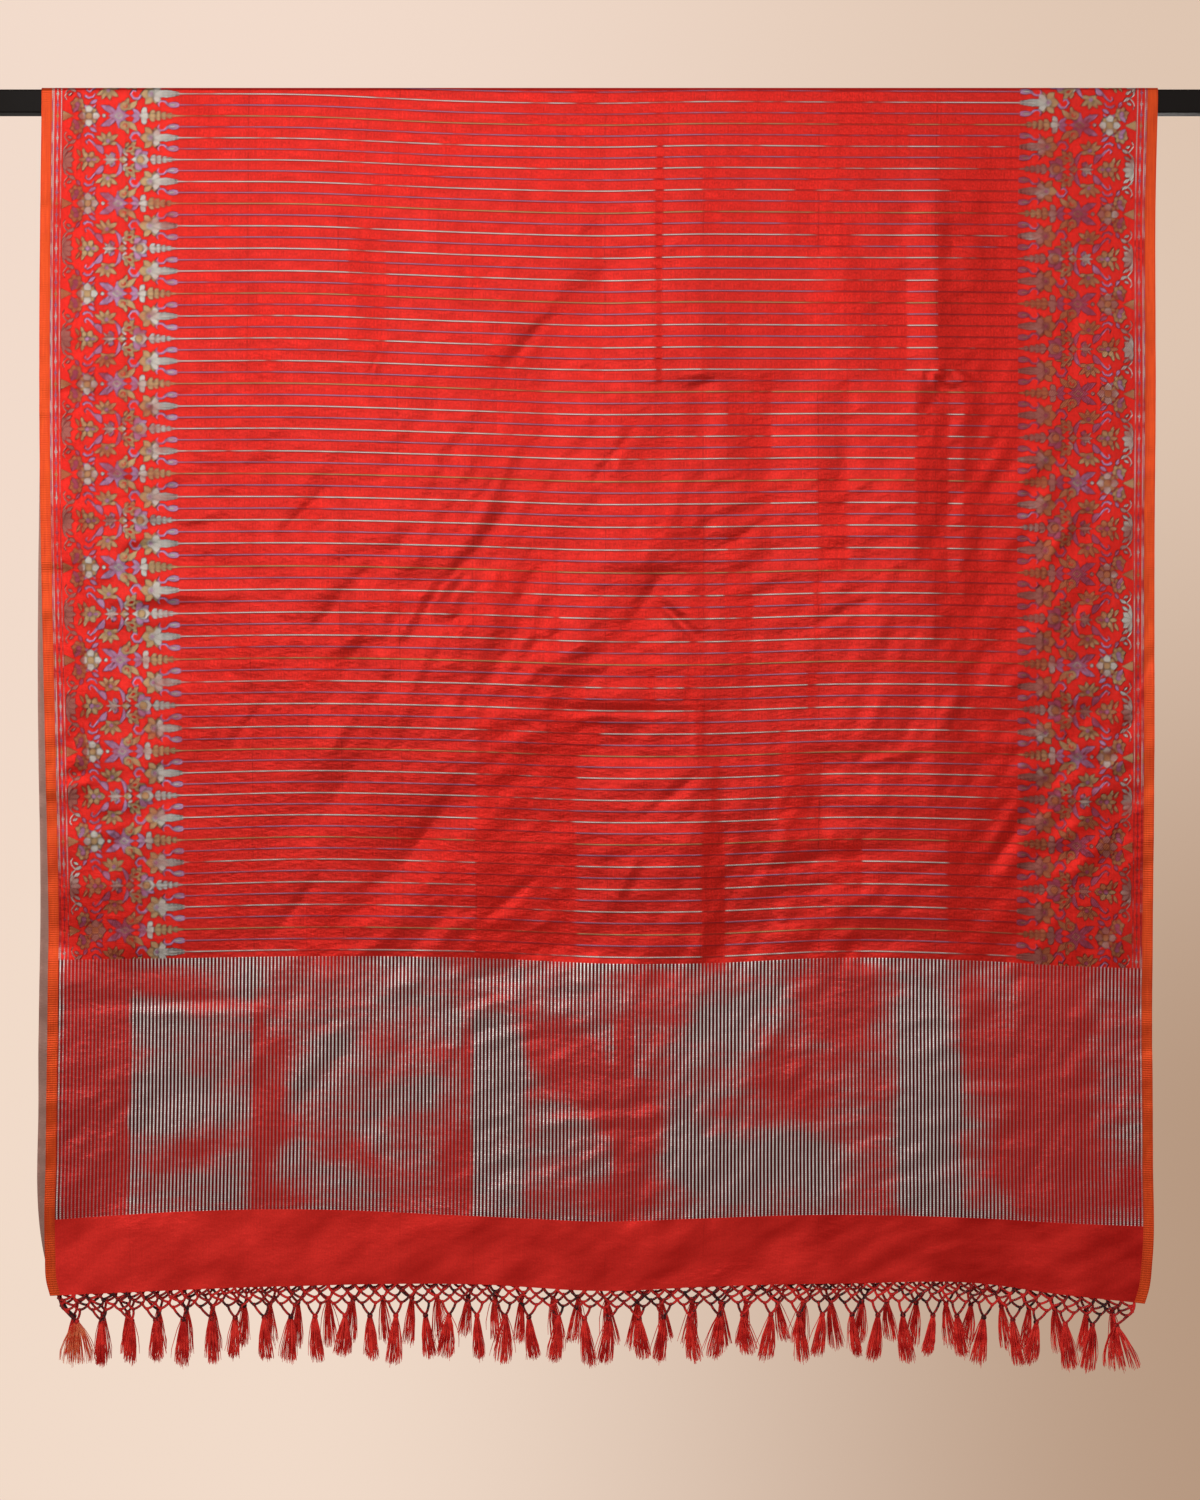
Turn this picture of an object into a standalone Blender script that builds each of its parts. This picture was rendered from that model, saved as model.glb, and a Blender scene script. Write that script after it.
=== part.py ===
"""Dupatta stole of satin silk, folded at half its length over a square hanging rod.

Metres, +Z up. The origin is on the rod's axis, half way along it. The front
fall hangs on the -Y side of the rod and the back fall on the +Y side.
"""

import math
from collections import namedtuple

import bmesh
import bpy
import numpy as np

# Driving dimensions
CLOTH_WIDTH = 0.950
WALL = 0.001
SEAM_GAP = 0.0003
SELVEDGE_WIDTH = 0.009
BORDER_WIDTH = 0.117          # from the cloth's edge, selvedge included
ROD_SIDE = 0.020
ROD_LENGTH = 1.080
ROD_EDGE_RADIUS = 0.0015
FIELD_DROP = 0.7295           # below the rod's axis, to the field's last stripe
PALLU_DROP = 0.9480
HEM_DROP = 1.0120
BACK_FALL_SHORTER = 0.009
KNOT_DROP = 1.0340            # to the knots at the tassels' tops
NET_PEAK = 0.64               # how far down the net its lower edge is between two knots
NET_DRAWN_IN = 0.0224         # from the cloth's edge to the corner tassel
TASSEL_LENGTH = 0.037
KNOT_WIDTH = 0.0045
LOCKS_PER_TASSEL = 3
LOCK_TIP_WIDTH = 0.0030
LOCK_TIP_DEPTH = 0.0028
LOCK_TIP_PITCH = 0.0037
TASSEL_SWAY = 0.004           # sideways, at the tips
KNOT_SHIFT = 0.0016           # each knot's stray from an even pitch
MOST_INWARD = -0.0035
MOST_OUTWARD = 0.0085
TAUT_DROP = 0.012             # the cloth lies flat against the rod down to here
TURN_STEPS = 3                # faces round each long edge of the rod
LOOSE_DROP = 0.160            # and its folds are full from here down

HALF_WIDTH = CLOTH_WIDTH / 2
FACE = ROD_SIDE / 2 + SEAM_GAP + WALL      # the cloth's outer face on the rod
TURN_RADIUS = ROD_EDGE_RADIUS + SEAM_GAP + WALL
TURN_DROP = TURN_RADIUS - FACE             # where the turn round the rod's edge ends
TOP_DROP = TURN_DROP - TURN_RADIUS * math.pi / 2
FIELD_EDGE = HALF_WIDTH - BORDER_WIDTH
BORDER_EDGE = HALF_WIDTH - SELVEDGE_WIDTH

# The cloth's two edges, by the drop below the rod's axis.
Edge = namedtuple("Edge", "drop left right")
FRONT_EDGES = [
    Edge(0.000, -0.4747, 0.4743),
    Edge(0.255, -0.4760, 0.4728),
    Edge(0.355, -0.4747, 0.4722),
    Edge(0.890, -0.4713, 0.4706),
    Edge(0.976, -0.4711, 0.4700),
    Edge(1.000, -0.4702, 0.4672),
    Edge(1.014, -0.4685, 0.4610),
]
BACK_EDGES = [
    Edge(0.000, -0.4747, 0.4743),
    Edge(0.300, -0.4772, 0.4715),
    Edge(0.890, -0.4763, 0.4680),
    Edge(0.976, -0.4747, 0.4655),
    Edge(1.003, -0.4700, 0.4610),
]

# How far the weft and the net's knots lie below level, across the cloth.
LEVEL_DROP = 0.040
Sag = namedtuple("Sag", "across at_rod at_field_end at_pallu_end at_hem at_knots")
FRONT_SAGS = [
    Sag(-0.475, 0.0, 0.0010, 0.0035, 0.0040, 0.0035),
    Sag(-0.360, 0.0, -0.0005, -0.0035, -0.0010, 0.0015),
    Sag(-0.260, 0.0, -0.0021, -0.0058, -0.0045, -0.0010),
    Sag(-0.110, 0.0, -0.0009, -0.0003, -0.0060, -0.0020),
    Sag(0.010, 0.0, 0.0043, 0.0047, 0.0000, 0.0010),
    Sag(0.085, 0.0, 0.0040, 0.0021, -0.0034, -0.0015),
    Sag(0.210, 0.0, -0.0009, -0.0010, -0.0064, -0.0025),
    Sag(0.330, 0.0, 0.0020, 0.0021, -0.0066, -0.0005),
    Sag(0.400, 0.0, 0.0060, 0.0062, 0.0025, 0.0050),
    Sag(0.475, 0.0, 0.0085, 0.0090, 0.0105, 0.0070),
]
BACK_SAGS = [
    Sag(-0.475, 0.0, 0.0030, 0.0060, 0.0085, 0.0125),
    Sag(-0.300, 0.0, 0.0010, -0.0020, -0.0010, 0.0020),
    Sag(-0.120, 0.0, -0.0020, -0.0040, -0.0050, -0.0050),
    Sag(0.060, 0.0, 0.0015, 0.0020, 0.0015, -0.0010),
    Sag(0.260, 0.0, -0.0010, -0.0020, -0.0020, -0.0010),
    Sag(0.475, 0.0, 0.0020, 0.0040, 0.0060, 0.0090),
]

# Storage creases that run down the cloth. Each row is a crease: where it lies
# across the cloth, how far it stands out half way down and at the hem, and how
# far the panel from it to the next crease bulges.
Crease = namedtuple("Crease", "across half_way at_hem bulge")
FRONT_CREASES = [
    Crease(-0.475, 0.0004, -0.0010, 0.0014),
    Crease(-0.402, 0.0018, 0.0026, -0.0020),
    Crease(-0.298, -0.0008, -0.0012, 0.0022),
    Crease(-0.221, 0.0010, 0.0002, 0.0012),
    Crease(-0.107, 0.0030, 0.0036, -0.0026),
    Crease(0.006, 0.0002, -0.0014, 0.0030),
    Crease(0.090, 0.0016, 0.0030, -0.0024),
    Crease(0.188, 0.0004, -0.0012, 0.0020),
    Crease(0.288, 0.0022, 0.0026, -0.0020),
    Crease(0.365, 0.0002, -0.0008, 0.0014),
    Crease(0.475, 0.0006, 0.0020, 0.0),
]
BACK_CREASES = [
    Crease(-0.475, 0.0004, 0.0020, -0.0016),
    Crease(-0.350, 0.0016, -0.0008, 0.0022),
    Crease(-0.232, 0.0000, 0.0026, -0.0022),
    Crease(-0.110, 0.0024, 0.0010, 0.0024),
    Crease(0.004, 0.0004, 0.0030, -0.0026),
    Crease(0.118, 0.0022, -0.0010, 0.0022),
    Crease(0.240, 0.0002, 0.0024, -0.0018),
    Crease(0.356, 0.0018, 0.0004, 0.0016),
    Crease(0.475, 0.0004, 0.0014, 0.0),
]

# Soft ridges (+) and troughs (-). The slant turns a fold's length from level
# towards its right-hand end going up, in degrees.
Fold = namedtuple("Fold", "across drop half_length half_width slant height")
FRONT_FOLDS = [
    Fold(-0.022, 0.195, 0.085, 0.022, 50, -0.0042),
    Fold(-0.066, 0.170, 0.075, 0.026, 50, 0.0034),
    Fold(-0.140, 0.275, 0.060, 0.020, 52, -0.0040),
    Fold(-0.186, 0.198, 0.045, 0.014, 80, -0.0026),
    Fold(0.052, 0.310, 0.055, 0.024, 55, -0.0040),
    Fold(0.050, 0.425, 0.060, 0.026, 45, -0.0048),
    Fold(-0.020, 0.462, 0.090, 0.026, 46, 0.0042),
    Fold(-0.124, 0.402, 0.055, 0.014, 20, -0.0030),
    Fold(-0.168, 0.512, 0.110, 0.024, 48, 0.0044),
    Fold(-0.235, 0.590, 0.070, 0.018, 46, -0.0040),
    Fold(-0.142, 0.620, 0.075, 0.020, 44, -0.0044),
    Fold(-0.298, 0.470, 0.080, 0.024, 48, 0.0030),
    Fold(0.184, 0.662, 0.040, 0.016, 12, -0.0034),
    Fold(0.134, 0.700, 0.050, 0.022, 22, -0.0042),
    Fold(0.215, 0.690, 0.060, 0.026, 40, 0.0034),
    Fold(0.100, 0.985, 0.080, 0.018, 14, -0.0040),
    Fold(-0.160, 0.975, 0.090, 0.024, 24, 0.0030),
    Fold(0.300, 0.830, 0.080, 0.030, 60, 0.0030),
    Fold(-0.330, 0.845, 0.060, 0.016, 4, -0.0022),
]
BACK_FOLDS = [
    Fold(0.120, 0.230, 0.080, 0.026, -48, -0.0036),
    Fold(0.040, 0.330, 0.090, 0.026, -46, 0.0036),
    Fold(-0.150, 0.300, 0.070, 0.022, -50, -0.0034),
    Fold(0.180, 0.520, 0.090, 0.028, -42, 0.0040),
    Fold(-0.060, 0.560, 0.080, 0.024, -45, -0.0040),
    Fold(-0.240, 0.620, 0.080, 0.026, -40, 0.0034),
    Fold(0.280, 0.700, 0.060, 0.022, -30, -0.0034),
    Fold(-0.100, 0.860, 0.090, 0.028, -20, 0.0032),
    Fold(0.200, 0.960, 0.080, 0.022, -12, -0.0034),
]

Fall = namedtuple("Fall", "name out edges sags creases folds shorter grid_step tassels")
FRONT = Fall("front", -1, FRONT_EDGES, FRONT_SAGS, FRONT_CREASES, FRONT_FOLDS,
             shorter=0.0, grid_step=0.034, tassels=40)
BACK = Fall("back", 1, BACK_EDGES, BACK_SAGS, BACK_CREASES, BACK_FOLDS,
            shorter=BACK_FALL_SHORTER, grid_step=0.048, tassels=38)

# Linear base colour, roughness, metallic
FINISHES = {
    "red_satin": ((0.62, 0.022, 0.016), 0.42, 0.0),
    "border_brocade": ((0.56, 0.13, 0.10), 0.45, 0.0),
    "orange_selvedge": ((0.90, 0.13, 0.022), 0.42, 0.0),
    "silver_zigzag": ((0.42, 0.17, 0.16), 0.38, 0.1),
    "plain_red": ((0.50, 0.016, 0.014), 0.42, 0.0),
    "red_thread": ((0.52, 0.014, 0.012), 0.55, 0.0),
    "black_rod": ((0.012, 0.010, 0.009), 0.40, 0.0),
}


def clear_scene():
    for old in list(bpy.data.objects):
        bpy.data.objects.remove(old, do_unlink=True)


def finish(name):
    colour, roughness, metallic = FINISHES[name]
    material = bpy.data.materials.get(name) or bpy.data.materials.new(name)
    material.use_nodes = True
    shader = material.node_tree.nodes["Principled BSDF"]
    shader.inputs["Base Color"].default_value = (*colour, 1.0)
    shader.inputs["Roughness"].default_value = roughness
    shader.inputs["Metallic"].default_value = metallic
    return material


def add_object(collection, name, mesh, material_name):
    thing = bpy.data.objects.new(name, mesh)
    mesh.materials.append(finish(material_name))
    collection.objects.link(thing)
    return thing


def smooth_step(value):
    value = min(max(value, 0.0), 1.0)
    return value * value * (3 - 2 * value)


def through_rows(places, values, place):
    """The value at a place, on a smooth curve through a table's rows."""
    slopes = np.gradient(values, places)
    row = min(max(int(np.searchsorted(places, place)) - 1, 0), len(places) - 2)
    span = places[row + 1] - places[row]
    part = min(max((place - places[row]) / span, 0.0), 1.0)
    rise = values[row + 1] - values[row]
    start = slopes[row] * span
    end = slopes[row + 1] * span
    curve = (3 * rise - 2 * start - end) * part**2 + (start + end - 2 * rise) * part**3
    return values[row] + start * part + curve


def side_place(fall, across, drop):
    """Where a thread at a place across the flat cloth lies along X."""
    drops = [edge.drop for edge in fall.edges]
    left = through_rows(drops, [edge.left for edge in fall.edges], drop)
    right = through_rows(drops, [edge.right for edge in fall.edges], drop)
    return left + (right - left) * (across / CLOTH_WIDTH + 0.5)


def sag(fall, across, drop):
    """How far the weft hangs below level at a place on the fall."""
    places = [row.across for row in fall.sags]
    levels = [through_rows(places, list(column), across) for column in list(zip(*fall.sags))[1:]]
    drops = [LEVEL_DROP, FIELD_DROP, PALLU_DROP, HEM_DROP, KNOT_DROP]
    return float(np.interp(drop, drops, levels))


def crease_rise(fall, across, drop):
    """Height of the storage creases and of the panels between them."""
    creases = fall.creases
    last = len(creases) - 2
    row = min(max(int(np.searchsorted([c.across for c in creases], across)) - 1, 0), last)
    here, there = creases[row], creases[row + 1]
    part = (across - here.across) / (there.across - here.across)
    down = drop / HEM_DROP
    edges = [c.half_way + (c.at_hem - c.half_way) * max(2 * down - 1, 0.0) for c in (here, there)]
    return edges[0] * (1 - part) + edges[1] * part + here.bulge * 4 * part * (1 - part)


def fold_rise(fold, across, drop):
    """Height of one soft fold at a place on the fall."""
    turn = math.radians(fold.slant)
    right = across - fold.across
    up = fold.drop - drop
    along = right * math.cos(turn) + up * math.sin(turn)
    aside = up * math.cos(turn) - right * math.sin(turn)
    return fold.height * math.exp(-(along / fold.half_length) ** 2 - (aside / fold.half_width) ** 2)


def stand_out(fall, across, drop):
    """How far the cloth stands out from its plumb line."""
    rise = crease_rise(fall, across, drop)
    rise += sum(fold_rise(fold, across, drop) for fold in fall.folds)
    loose = smooth_step((drop - TAUT_DROP) / (LOOSE_DROP - TAUT_DROP))
    return min(max(rise, MOST_INWARD), MOST_OUTWARD) * loose


def fall_place(fall, across, drop):
    """A point of the fall's outer face, from its place on the flat cloth.

    Above TURN_DROP the cloth goes round the rod's edge to the flat top.
    """
    side = side_place(fall, across, drop)
    if drop < TURN_DROP:
        angle = (TURN_DROP - drop) / TURN_RADIUS
        centre = FACE - TURN_RADIUS
        out = centre + TURN_RADIUS * math.cos(angle)
        return (side, fall.out * out, centre + TURN_RADIUS * math.sin(angle))
    hang = drop * (1 - fall.shorter / HEM_DROP) + sag(fall, across, drop)
    return (side, fall.out * (FACE + stand_out(fall, across, drop)), -hang)


def evenly(start, end, step):
    count = max(1, round((end - start) / step))
    return [start + (end - start) * i / count for i in range(count + 1)]


def lines_through(stops, step):
    """Grid lines on each stop and evenly between them."""
    lines = [stops[0]]
    for first, last in zip(stops, stops[1:]):
        lines += evenly(first, last, step)[1:]
    return lines


def column_lines(fall):
    """Grid lines across the whole cloth, on each crease and each change of weave."""
    seams = [-BORDER_EDGE, -FIELD_EDGE, FIELD_EDGE, BORDER_EDGE]
    creases = [c.across for c in fall.creases
               if all(abs(c.across - seam) > SELVEDGE_WIDTH * 1.2 for seam in seams)]
    return lines_through(sorted({-HALF_WIDTH, *creases, *seams, HALF_WIDTH}), fall.grid_step)


def row_lines(fall):
    """Grid lines down a fall, from the top of the rod to the hem."""
    turn = evenly(TOP_DROP, TURN_DROP, (TURN_DROP - TOP_DROP) / TURN_STEPS)
    return turn[:-1] + lines_through([TURN_DROP, FIELD_DROP, PALLU_DROP, HEM_DROP], fall.grid_step)


def between(lines, start, end):
    """The lines from start to end, drawn in by half a seam gap at both."""
    inner = [line for line in lines if start + 1e-6 < line < end - 1e-6]
    return [start + SEAM_GAP / 2, *inner, end - SEAM_GAP / 2]


def chord_place(fall, across, drop):
    """A point on the faceted fall, straight between its two nearest column lines."""
    lines = column_lines(fall)
    right = min(max(int(np.searchsorted(lines, across)), 1), len(lines) - 1)
    part = (across - lines[right - 1]) / (lines[right] - lines[right - 1])
    ends = [fall_place(fall, lines[i], drop) for i in (right - 1, right)]
    return [a + (b - a) * part for a, b in zip(*ends)]


def grid_mesh(name, columns, rows, place):
    """An open grid with a vertex at place(column, row) for each pair of lines."""
    grid = bmesh.new()
    made = bmesh.ops.create_grid(
        grid, x_segments=len(columns) - 1, y_segments=len(rows) - 1, size=1.0)
    for vertex in made["verts"]:
        column = round((vertex.co.x + 1) / 2 * (len(columns) - 1))
        row = round((vertex.co.y + 1) / 2 * (len(rows) - 1))
        vertex.co = place(columns[column], rows[row])
    mesh = bpy.data.meshes.new(name)
    grid.to_mesh(mesh)
    grid.free()
    return mesh


def face_outwards(mesh, out):
    """Turns an open sheet so that its faces look to the side given by out."""
    if sum(face.normal.y for face in mesh.polygons) * out < 0:
        mesh.flip_normals()


def thicken(thing):
    wall = thing.modifiers.new("wall", "SOLIDIFY")
    wall.thickness = WALL
    wall.offset = -1.0
    thing.data.shade_smooth()
    thing.data.set_sharp_from_angle(angle=math.radians(40))


def panel(collection, fall, part_name, across, drops, material_name):
    """One woven stretch of a fall, with half a seam gap inside each of its edges."""
    columns = between(column_lines(fall), *across)
    rows = between(row_lines(fall), *drops)
    mesh = grid_mesh(f"{fall.name}_{part_name}", columns, rows,
                     lambda column, row: fall_place(fall, column, row))
    face_outwards(mesh, fall.out)
    thicken(add_object(collection, mesh.name, mesh, material_name))


def make_fall(collection, fall):
    upper = (TOP_DROP, FIELD_DROP)
    whole = (TOP_DROP, HEM_DROP)
    left_border = (-BORDER_EDGE, -FIELD_EDGE)
    right_border = (FIELD_EDGE, BORDER_EDGE)
    inside = (-BORDER_EDGE, BORDER_EDGE)
    panel(collection, fall, "field", (-FIELD_EDGE, FIELD_EDGE), upper, "red_satin")
    panel(collection, fall, "border_left", left_border, upper, "border_brocade")
    panel(collection, fall, "border_right", right_border, upper, "border_brocade")
    panel(collection, fall, "selvedge_left", (-HALF_WIDTH, -BORDER_EDGE), whole, "orange_selvedge")
    panel(collection, fall, "selvedge_right", (BORDER_EDGE, HALF_WIDTH), whole, "orange_selvedge")
    panel(collection, fall, "pallu", inside, (FIELD_DROP, PALLU_DROP), "silver_zigzag")
    panel(collection, fall, "end_band", inside, (PALLU_DROP, HEM_DROP), "plain_red")


def make_turn(collection):
    """The flat stretch on top of the rod, between the two falls."""
    turn = bmesh.new()
    bmesh.ops.create_cube(turn, size=1.0)
    left, right = FRONT_EDGES[0].left, FRONT_EDGES[0].right
    depth = 2 * (FACE - TURN_RADIUS) - SEAM_GAP
    bmesh.ops.scale(turn, vec=(right - left, depth, WALL), verts=turn.verts)
    bmesh.ops.translate(turn, vec=((left + right) / 2, 0.0, FACE - WALL / 2), verts=turn.verts)
    mesh = bpy.data.meshes.new("turn_over_rod")
    turn.to_mesh(mesh)
    turn.free()
    add_object(collection, "turn_over_rod", mesh, "red_satin")


def net_columns(fall):
    """Across the net: each knot's edges and a peak between knots, with its depth down the net."""
    first = NET_DRAWN_IN - HALF_WIDTH
    pitch = -2 * first / (fall.tassels - 1)
    steps = [KNOT_WIDTH * (i / LOCKS_PER_TASSEL - 0.5) for i in range(LOCKS_PER_TASSEL + 1)]
    columns = []
    for number in range(fall.tassels):
        knot = first + pitch * number + KNOT_SHIFT * math.sin(2.3 * number) * fall.out
        columns += [(knot + step, 1.0) for step in steps]
        columns.append((first + pitch * (number + 0.5), NET_PEAK))
    return columns[:-1]


def net_place(fall, column, row):
    """A point on the net: row 0 along the hem, row 1 along its lower edge."""
    across, depth = column
    wide = across * HALF_WIDTH / (HALF_WIDTH - NET_DRAWN_IN + KNOT_WIDTH / 2 + KNOT_SHIFT)
    hem = chord_place(fall, wide, HEM_DROP + SEAM_GAP)
    if row == 0:
        return hem
    knot = fall_place(fall, across, KNOT_DROP)
    return (knot[0], hem[1], hem[2] + (knot[2] - hem[2]) * depth)


def make_net_fringe(collection, fall):
    """The knotted net as one thin strip, with each tassel's locks grown from its knot."""
    mesh = grid_mesh(f"{fall.name}_net_fringe", net_columns(fall), [0, 1],
                     lambda column, row: net_place(fall, column, row))
    face_outwards(mesh, fall.out)
    net = bmesh.new()
    net.from_mesh(mesh)
    bmesh.ops.solidify(net, geom=net.faces[:], thickness=WALL)
    net.normal_update()
    grow_locks(net)
    net.to_mesh(mesh)
    net.free()
    mesh.shade_smooth()
    mesh.set_sharp_from_angle(angle=math.radians(40))
    add_object(collection, mesh.name, mesh, "red_thread")


def grow_locks(net):
    """Draws each root under the knots down into a lock that flares out from its tassel."""
    roots = [face for face in net.faces if face.normal.z < -0.5
             and max(edge.calc_length() for edge in face.edges) < KNOT_WIDTH / 2]
    locks = bmesh.ops.extrude_discrete_faces(net, faces=roots)["faces"]
    locks.sort(key=lambda face: face.calc_center_median().x)
    for number, tip in enumerate(locks):
        tassel, place = divmod(number, LOCKS_PER_TASSEL)
        centre = tip.calc_center_median()
        drop = TASSEL_LENGTH * (1 + 0.07 * math.sin(1.7 * tassel) + 0.02 * math.sin(2.9 * number))
        place -= (LOCKS_PER_TASSEL - 1) / 2
        lean = TASSEL_SWAY * math.sin(3.1 * tassel)
        lean += place * (LOCK_TIP_PITCH - KNOT_WIDTH / LOCKS_PER_TASSEL)
        for vertex in tip.verts:
            aside = math.copysign(LOCK_TIP_WIDTH / 2, vertex.co.x - centre.x)
            deep = math.copysign(LOCK_TIP_DEPTH / 2, vertex.co.y - centre.y)
            vertex.co = (centre.x + lean + aside, centre.y + deep, centre.z - drop)


def make_rod(collection):
    rod = bmesh.new()
    bmesh.ops.create_cube(rod, size=1.0)
    bmesh.ops.scale(rod, vec=(ROD_LENGTH, ROD_SIDE, ROD_SIDE), verts=rod.verts)
    mesh = bpy.data.meshes.new("hanging_rod")
    rod.to_mesh(mesh)
    rod.free()
    thing = add_object(collection, "hanging_rod", mesh, "black_rod")
    edge = thing.modifiers.new("rounded edges", "BEVEL")
    edge.width = ROD_EDGE_RADIUS
    edge.segments = 3
    edge.limit_method = "ANGLE"
    mesh.shade_smooth()
    mesh.set_sharp_from_angle(angle=math.radians(40))


def main():
    clear_scene()
    collection = bpy.data.collections.new("dupatta_stole")
    bpy.context.scene.collection.children.link(collection)
    make_rod(collection)
    make_turn(collection)
    make_fall(collection, FRONT)
    make_fall(collection, BACK)
    make_net_fringe(collection, FRONT)
    make_net_fringe(collection, BACK)


main()
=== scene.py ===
import math

import bmesh
import bpy
import numpy as np
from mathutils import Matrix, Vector, geometry


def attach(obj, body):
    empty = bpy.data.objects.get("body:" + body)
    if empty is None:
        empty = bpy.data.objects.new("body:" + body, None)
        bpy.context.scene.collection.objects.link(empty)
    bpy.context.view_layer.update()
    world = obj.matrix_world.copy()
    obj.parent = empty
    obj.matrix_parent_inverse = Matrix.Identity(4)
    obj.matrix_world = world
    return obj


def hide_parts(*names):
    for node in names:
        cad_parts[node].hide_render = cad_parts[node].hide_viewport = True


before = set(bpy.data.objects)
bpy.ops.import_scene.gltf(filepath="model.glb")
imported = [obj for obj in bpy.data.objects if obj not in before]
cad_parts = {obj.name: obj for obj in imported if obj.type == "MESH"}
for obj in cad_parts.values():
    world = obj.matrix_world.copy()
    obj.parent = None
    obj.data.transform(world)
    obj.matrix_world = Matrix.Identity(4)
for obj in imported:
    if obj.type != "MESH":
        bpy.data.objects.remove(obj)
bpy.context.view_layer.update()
scene = bpy.context.scene
print("frame loaded:", len(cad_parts), "nodes")

# The cloth as it hangs, in metres. Drops are measured down from the rod's axis.
cloth = {
    "width": 0.950, "thickness": 0.0010, "selvedge": 0.009, "border": 0.117,
    "level": 0.040, "fieldEnd": 0.7295, "palluEnd": 0.9480, "hem": 1.0120, "knots": 1.0340,
    "taut": 0.012, "loose": 0.160, "mostInward": -0.0035, "mostOutward": 0.0085, "backShorter": 0.009,
    "rodHalf": 0.010, "clear": 0.0013, "rodEdge": 0.0015,
}
halfWidth = cloth["width"] / 2
fieldEdge = halfWidth - cloth["border"]
borderEdge = halfWidth - cloth["selvedge"]
face = cloth["rodHalf"] + cloth["clear"]
turnRadius = cloth["rodEdge"] + cloth["clear"]
turnDrop = turnRadius - face
topDrop = turnDrop - turnRadius * math.pi / 2
topDepth = 2 * (face - turnRadius)

# The tables below are in millimetres. Each fall's two edges: drop, left, right.
edges = {
    "front": [(0, -474.7, 474.3), (84, -475.6, 472.2), (255, -476.4, 472.2), (339, -475.6, 471.4),
              (594, -470.5, 470.8), (690, -468.8, 469.8), (770, -469.2, 469.2), (890, -470.8, 469.9),
              (976, -471.8, 469.3), (1000, -470.6, 466.5), (1014, -466.8, 462.2)],
    "back": [(0, -474.7, 474.3), (300, -479.5, 471.5), (509, -481.2, 469.5), (679, -479, 468.5),
             (850, -480.8, 468), (976, -477.8, 465.5), (1003, -472.5, 461)],
}

# How far the weft hangs below level: across, then at the rod, field's end, pallu's end, hem, knots.
sags = {
    "front": [(-475, 0, 1, 3.5, 4, 3.5), (-360, 0, -0.5, -3.5, -1, 1.5), (-260, 0, -2.1, -5.8, -4.5, -1),
              (-110, 0, -0.9, -0.3, -6, -2), (10, 0, 4.3, 4.7, 0, 1), (85, 0, 4, 2.1, -3.4, -1.5),
              (210, 0, -0.9, -1, -6.4, -2.5), (330, 0, 2, 2.1, -6.6, -0.5), (400, 0, 6, 6.2, 2.5, 5),
              (475, 0, 8.5, 9, 10.5, 7)],
    "back": [(-475, 0, 3, 6, 8.5, 12.5), (-300, 0, 1, -2, -1, 2), (-120, 0, -2, -4, -5, -5),
             (60, 0, 1.5, 2, 1.5, -1), (260, 0, -1, -2, -2, -1), (475, 0, 2, 4, 6, 9)],
}

# Storage creases: across, height half way down, height at the hem, bulge of the panel to the next.
creases = {
    "front": [(-475, 0.4, -1, 1.4), (-402, 1.8, 2.6, -2), (-298, -0.8, -1.2, 2.2), (-221, 1, 0.2, 1.2),
              (-107, 3, 3.6, -2.6), (6, 0.2, -1.4, 3), (90, 1.6, 3, -2.4), (188, 0.4, -1.2, 2),
              (288, 2.2, 2.6, -2), (365, 0.2, -0.8, 1.4), (475, 0.6, 2, 0)],
    "back": [(-475, 0.4, 2, -1.6), (-350, 1.6, -0.8, 2.2), (-232, 0, 2.6, -2.2), (-110, 2.4, 1, 2.4),
             (4, 0.4, 3, -2.6), (118, 2.2, -1, 2.2), (240, 0.2, 2.4, -1.8), (356, 1.8, 0.4, 1.6),
             (475, 0.4, 1.4, 0)],
}
creaseShare = {"front": 0.35, "back": 0.8}

# Soft ridges and troughs: across, drop, half length, half width, slant in degrees, height.
folds = {
    "front": [(-22, 195, 85, 22, 50, -4.2), (-66, 170, 75, 26, 50, 3.4), (-140, 275, 60, 20, 52, -4),
              (-186, 198, 45, 14, 80, -2.6), (52, 310, 55, 24, 55, -5), (50, 425, 60, 26, 45, -6.2),
              (-20, 462, 90, 26, 46, 4.2), (-124, 402, 55, 14, 20, -3), (-168, 512, 110, 24, 48, 4.4),
              (-235, 590, 70, 18, 46, -5.2), (-142, 620, 75, 20, 44, -5.6), (-298, 470, 80, 24, 48, 3),
              (184, 662, 40, 16, 12, -3.4), (134, 700, 50, 22, 22, -5.4), (215, 690, 60, 26, 40, 3.4),
              (100, 985, 80, 18, 14, -4), (-160, 975, 90, 24, 24, 3), (300, 830, 80, 30, 60, 3),
              (-330, 845, 60, 16, 4, -2.2)],
    "back": [(120, 230, 80, 26, -48, -3.6), (40, 330, 90, 26, -46, 3.6), (-150, 300, 70, 22, -50, -3.4),
             (180, 520, 90, 28, -42, 4), (-60, 560, 80, 24, -45, -4), (-240, 620, 80, 26, -40, 3.4),
             (280, 700, 60, 22, -30, -3.4), (-100, 860, 90, 28, -20, 3.2), (200, 960, 80, 22, -12, -3.4)],
}

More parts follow.
